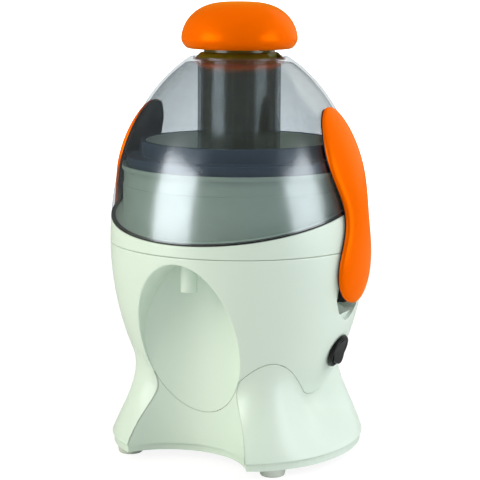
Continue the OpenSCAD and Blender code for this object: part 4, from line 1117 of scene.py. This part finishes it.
def makeLatches():
    f, k = latchForm, knuckleForm
    top = f["linerGap"] + f["liner"]
    cover = latchSheet("rightLatchCover", 0, coverHeight, top + 0.1)
    liner = latchSheet("rightLatchLiner", f["linerInset"], lambda share: top, f["linerGap"])
    pinX, pinZ, half = recessForm["pinX"], recessForm["pinZ"], recessForm["half"] - k["play"]
    bore, reach = k["bore"], k["radius"]
    barrel = roundedProfile([(bore, -half, 0), (reach, -half, 0.7), (reach, half, 0.7), (bore, half, 0)])
    knuckle = placed(lathe("knuckle", barrel, 64), pinX, 0, pinZ, 90, "X")
    web = block("web", (pinX + 3, -half, pinZ - k["web"]), (pinX + 30, half, pinZ + k["web"]))
    keepIn(web, eggSolid("webEgg", 100, 130, -f["linerGap"] - f["liner"] / 2, 30))
    addTo(knuckle, web)
    addTo(liner, knuckle)
    low, high = lidForm["catch"] - 2, lidForm["catch"] + 4.5
    carve(liner, block("windowTool", (0, -k["window"], low), (200, k["window"], high)))
    leftCover = mirrored(cover, "leftLatchCover")
    leftLiner = mirrored(liner, "leftLatchLiner")
    settle(cover, "right_latch", "orange_plastic", "right_latch_cover", sharp=60)
    settle(liner, "right_latch", "black_plastic", "right_latch_liner")
    settle(leftCover, "left_latch", "orange_plastic", "left_latch_cover", sharp=60)
    settle(leftLiner, "left_latch", "black_plastic", "left_latch_liner")


makeLatches()
print("latches built")

# switch
switchForm = {
    "bezel": 12, "bezelTop": 2.6, "flange": 0.4, "body": 10.0, "well": 9.1, "floor": -6, "back": -13,
    "rocker": 8.5, "half": 2.5, "swell": 1.7, "pin": 1, "pinHalf": 8.7, "tilt": 9,
}


def makeSwitch():
    s = switchForm
    profile = roundedProfile([
        (s["well"], s["floor"], 0), (s["well"], s["bezelTop"], 0.5), (s["bezel"] - 0.9, s["bezelTop"], 0.6),
        (s["bezel"], s["flange"], 0.3), (s["body"], s["flange"], 0), (s["body"], s["back"], 0.3),
        (0, s["back"], 0), (0, s["floor"], 0)])
    bezel = lathe("switchBezel", profile[::-1], 144)
    bezel.data.transform(switchFrame())
    settle(bezel, "motor_base", "black_plastic", "switch_bezel")
    # the rocker's top is hollowed between its two raised ends
    rings = []
    for y in steps(-s["rocker"], s["rocker"], 48):
        wide = math.sqrt(max(0.02, s["rocker"] ** 2 - y * y))
        across = [wide * t for t in steps(-1, 1, 24)]
        top = [(x, y, s["half"] + s["swell"] * (abs(x) / s["rocker"]) ** 1.4) for x in across]
        rings.append([(x, y, -s["half"]) for x in (wide, -wide)] + top)
    rocker = loft("rockerSwitch", rings, False)
    rocker.data.transform(switchFrame() @ Matrix.Rotation(math.radians(-s["tilt"]), 4, "Y"))
    pin = disc("rockerPin", s["pin"], -s["pinHalf"], s["pinHalf"], 32)
    pin.data.transform(switchFrame() @ Matrix.Rotation(math.radians(90), 4, "X"))
    addTo(rocker, pin)
    settle(rocker, "rocker", "black_plastic", "rocker_switch")


makeSwitch()
print("switch built")

# cable inlet
inletForm = {
    "bore": 3.6, "radius": 6, "collar": 7.8, "back": 55.1, "skin": 57.6, "leaves": 72.8, "end": 80.7,
    "ribs": 3, "pitch": 1.7, "groove": 0.7, "taper": 0.35,
}


def makeInlet():
    # profile of (radius, distance from the machine's axis): collar, neck through the wall, ribbed tail
    f = inletForm
    y, groove = f["leaves"] + 2.2, f["groove"]
    corners = [
        (f["bore"], f["back"], 0.3), (f["collar"], f["back"], 0.4), (f["collar"], f["skin"], 0.4),
        (f["radius"], f["skin"], 0), (f["radius"], y, 0.3)]
    for k in range(f["ribs"]):
        r = f["radius"] - f["taper"] * (k + 1)
        corners += [(r - groove, y, 0.2), (r - groove, y + groove, 0.2), (r, y + groove, 0.2)]
        y += f["pitch"]
        corners.append((r, y, 0.2))
    corners += [(f["bore"] + 1.1, f["end"], 0.4), (f["bore"], f["end"], 0.3)]
    inlet = lathe("cordInlet", roundedProfile(corners), 96)
    placed(inlet, 0, 0, skirtEdges["glandHeight"], -90, "X")
    return settle(inlet, "motor_base", "black_rubber", "cord_gland")


makeInlet()
print("cable inlet built")
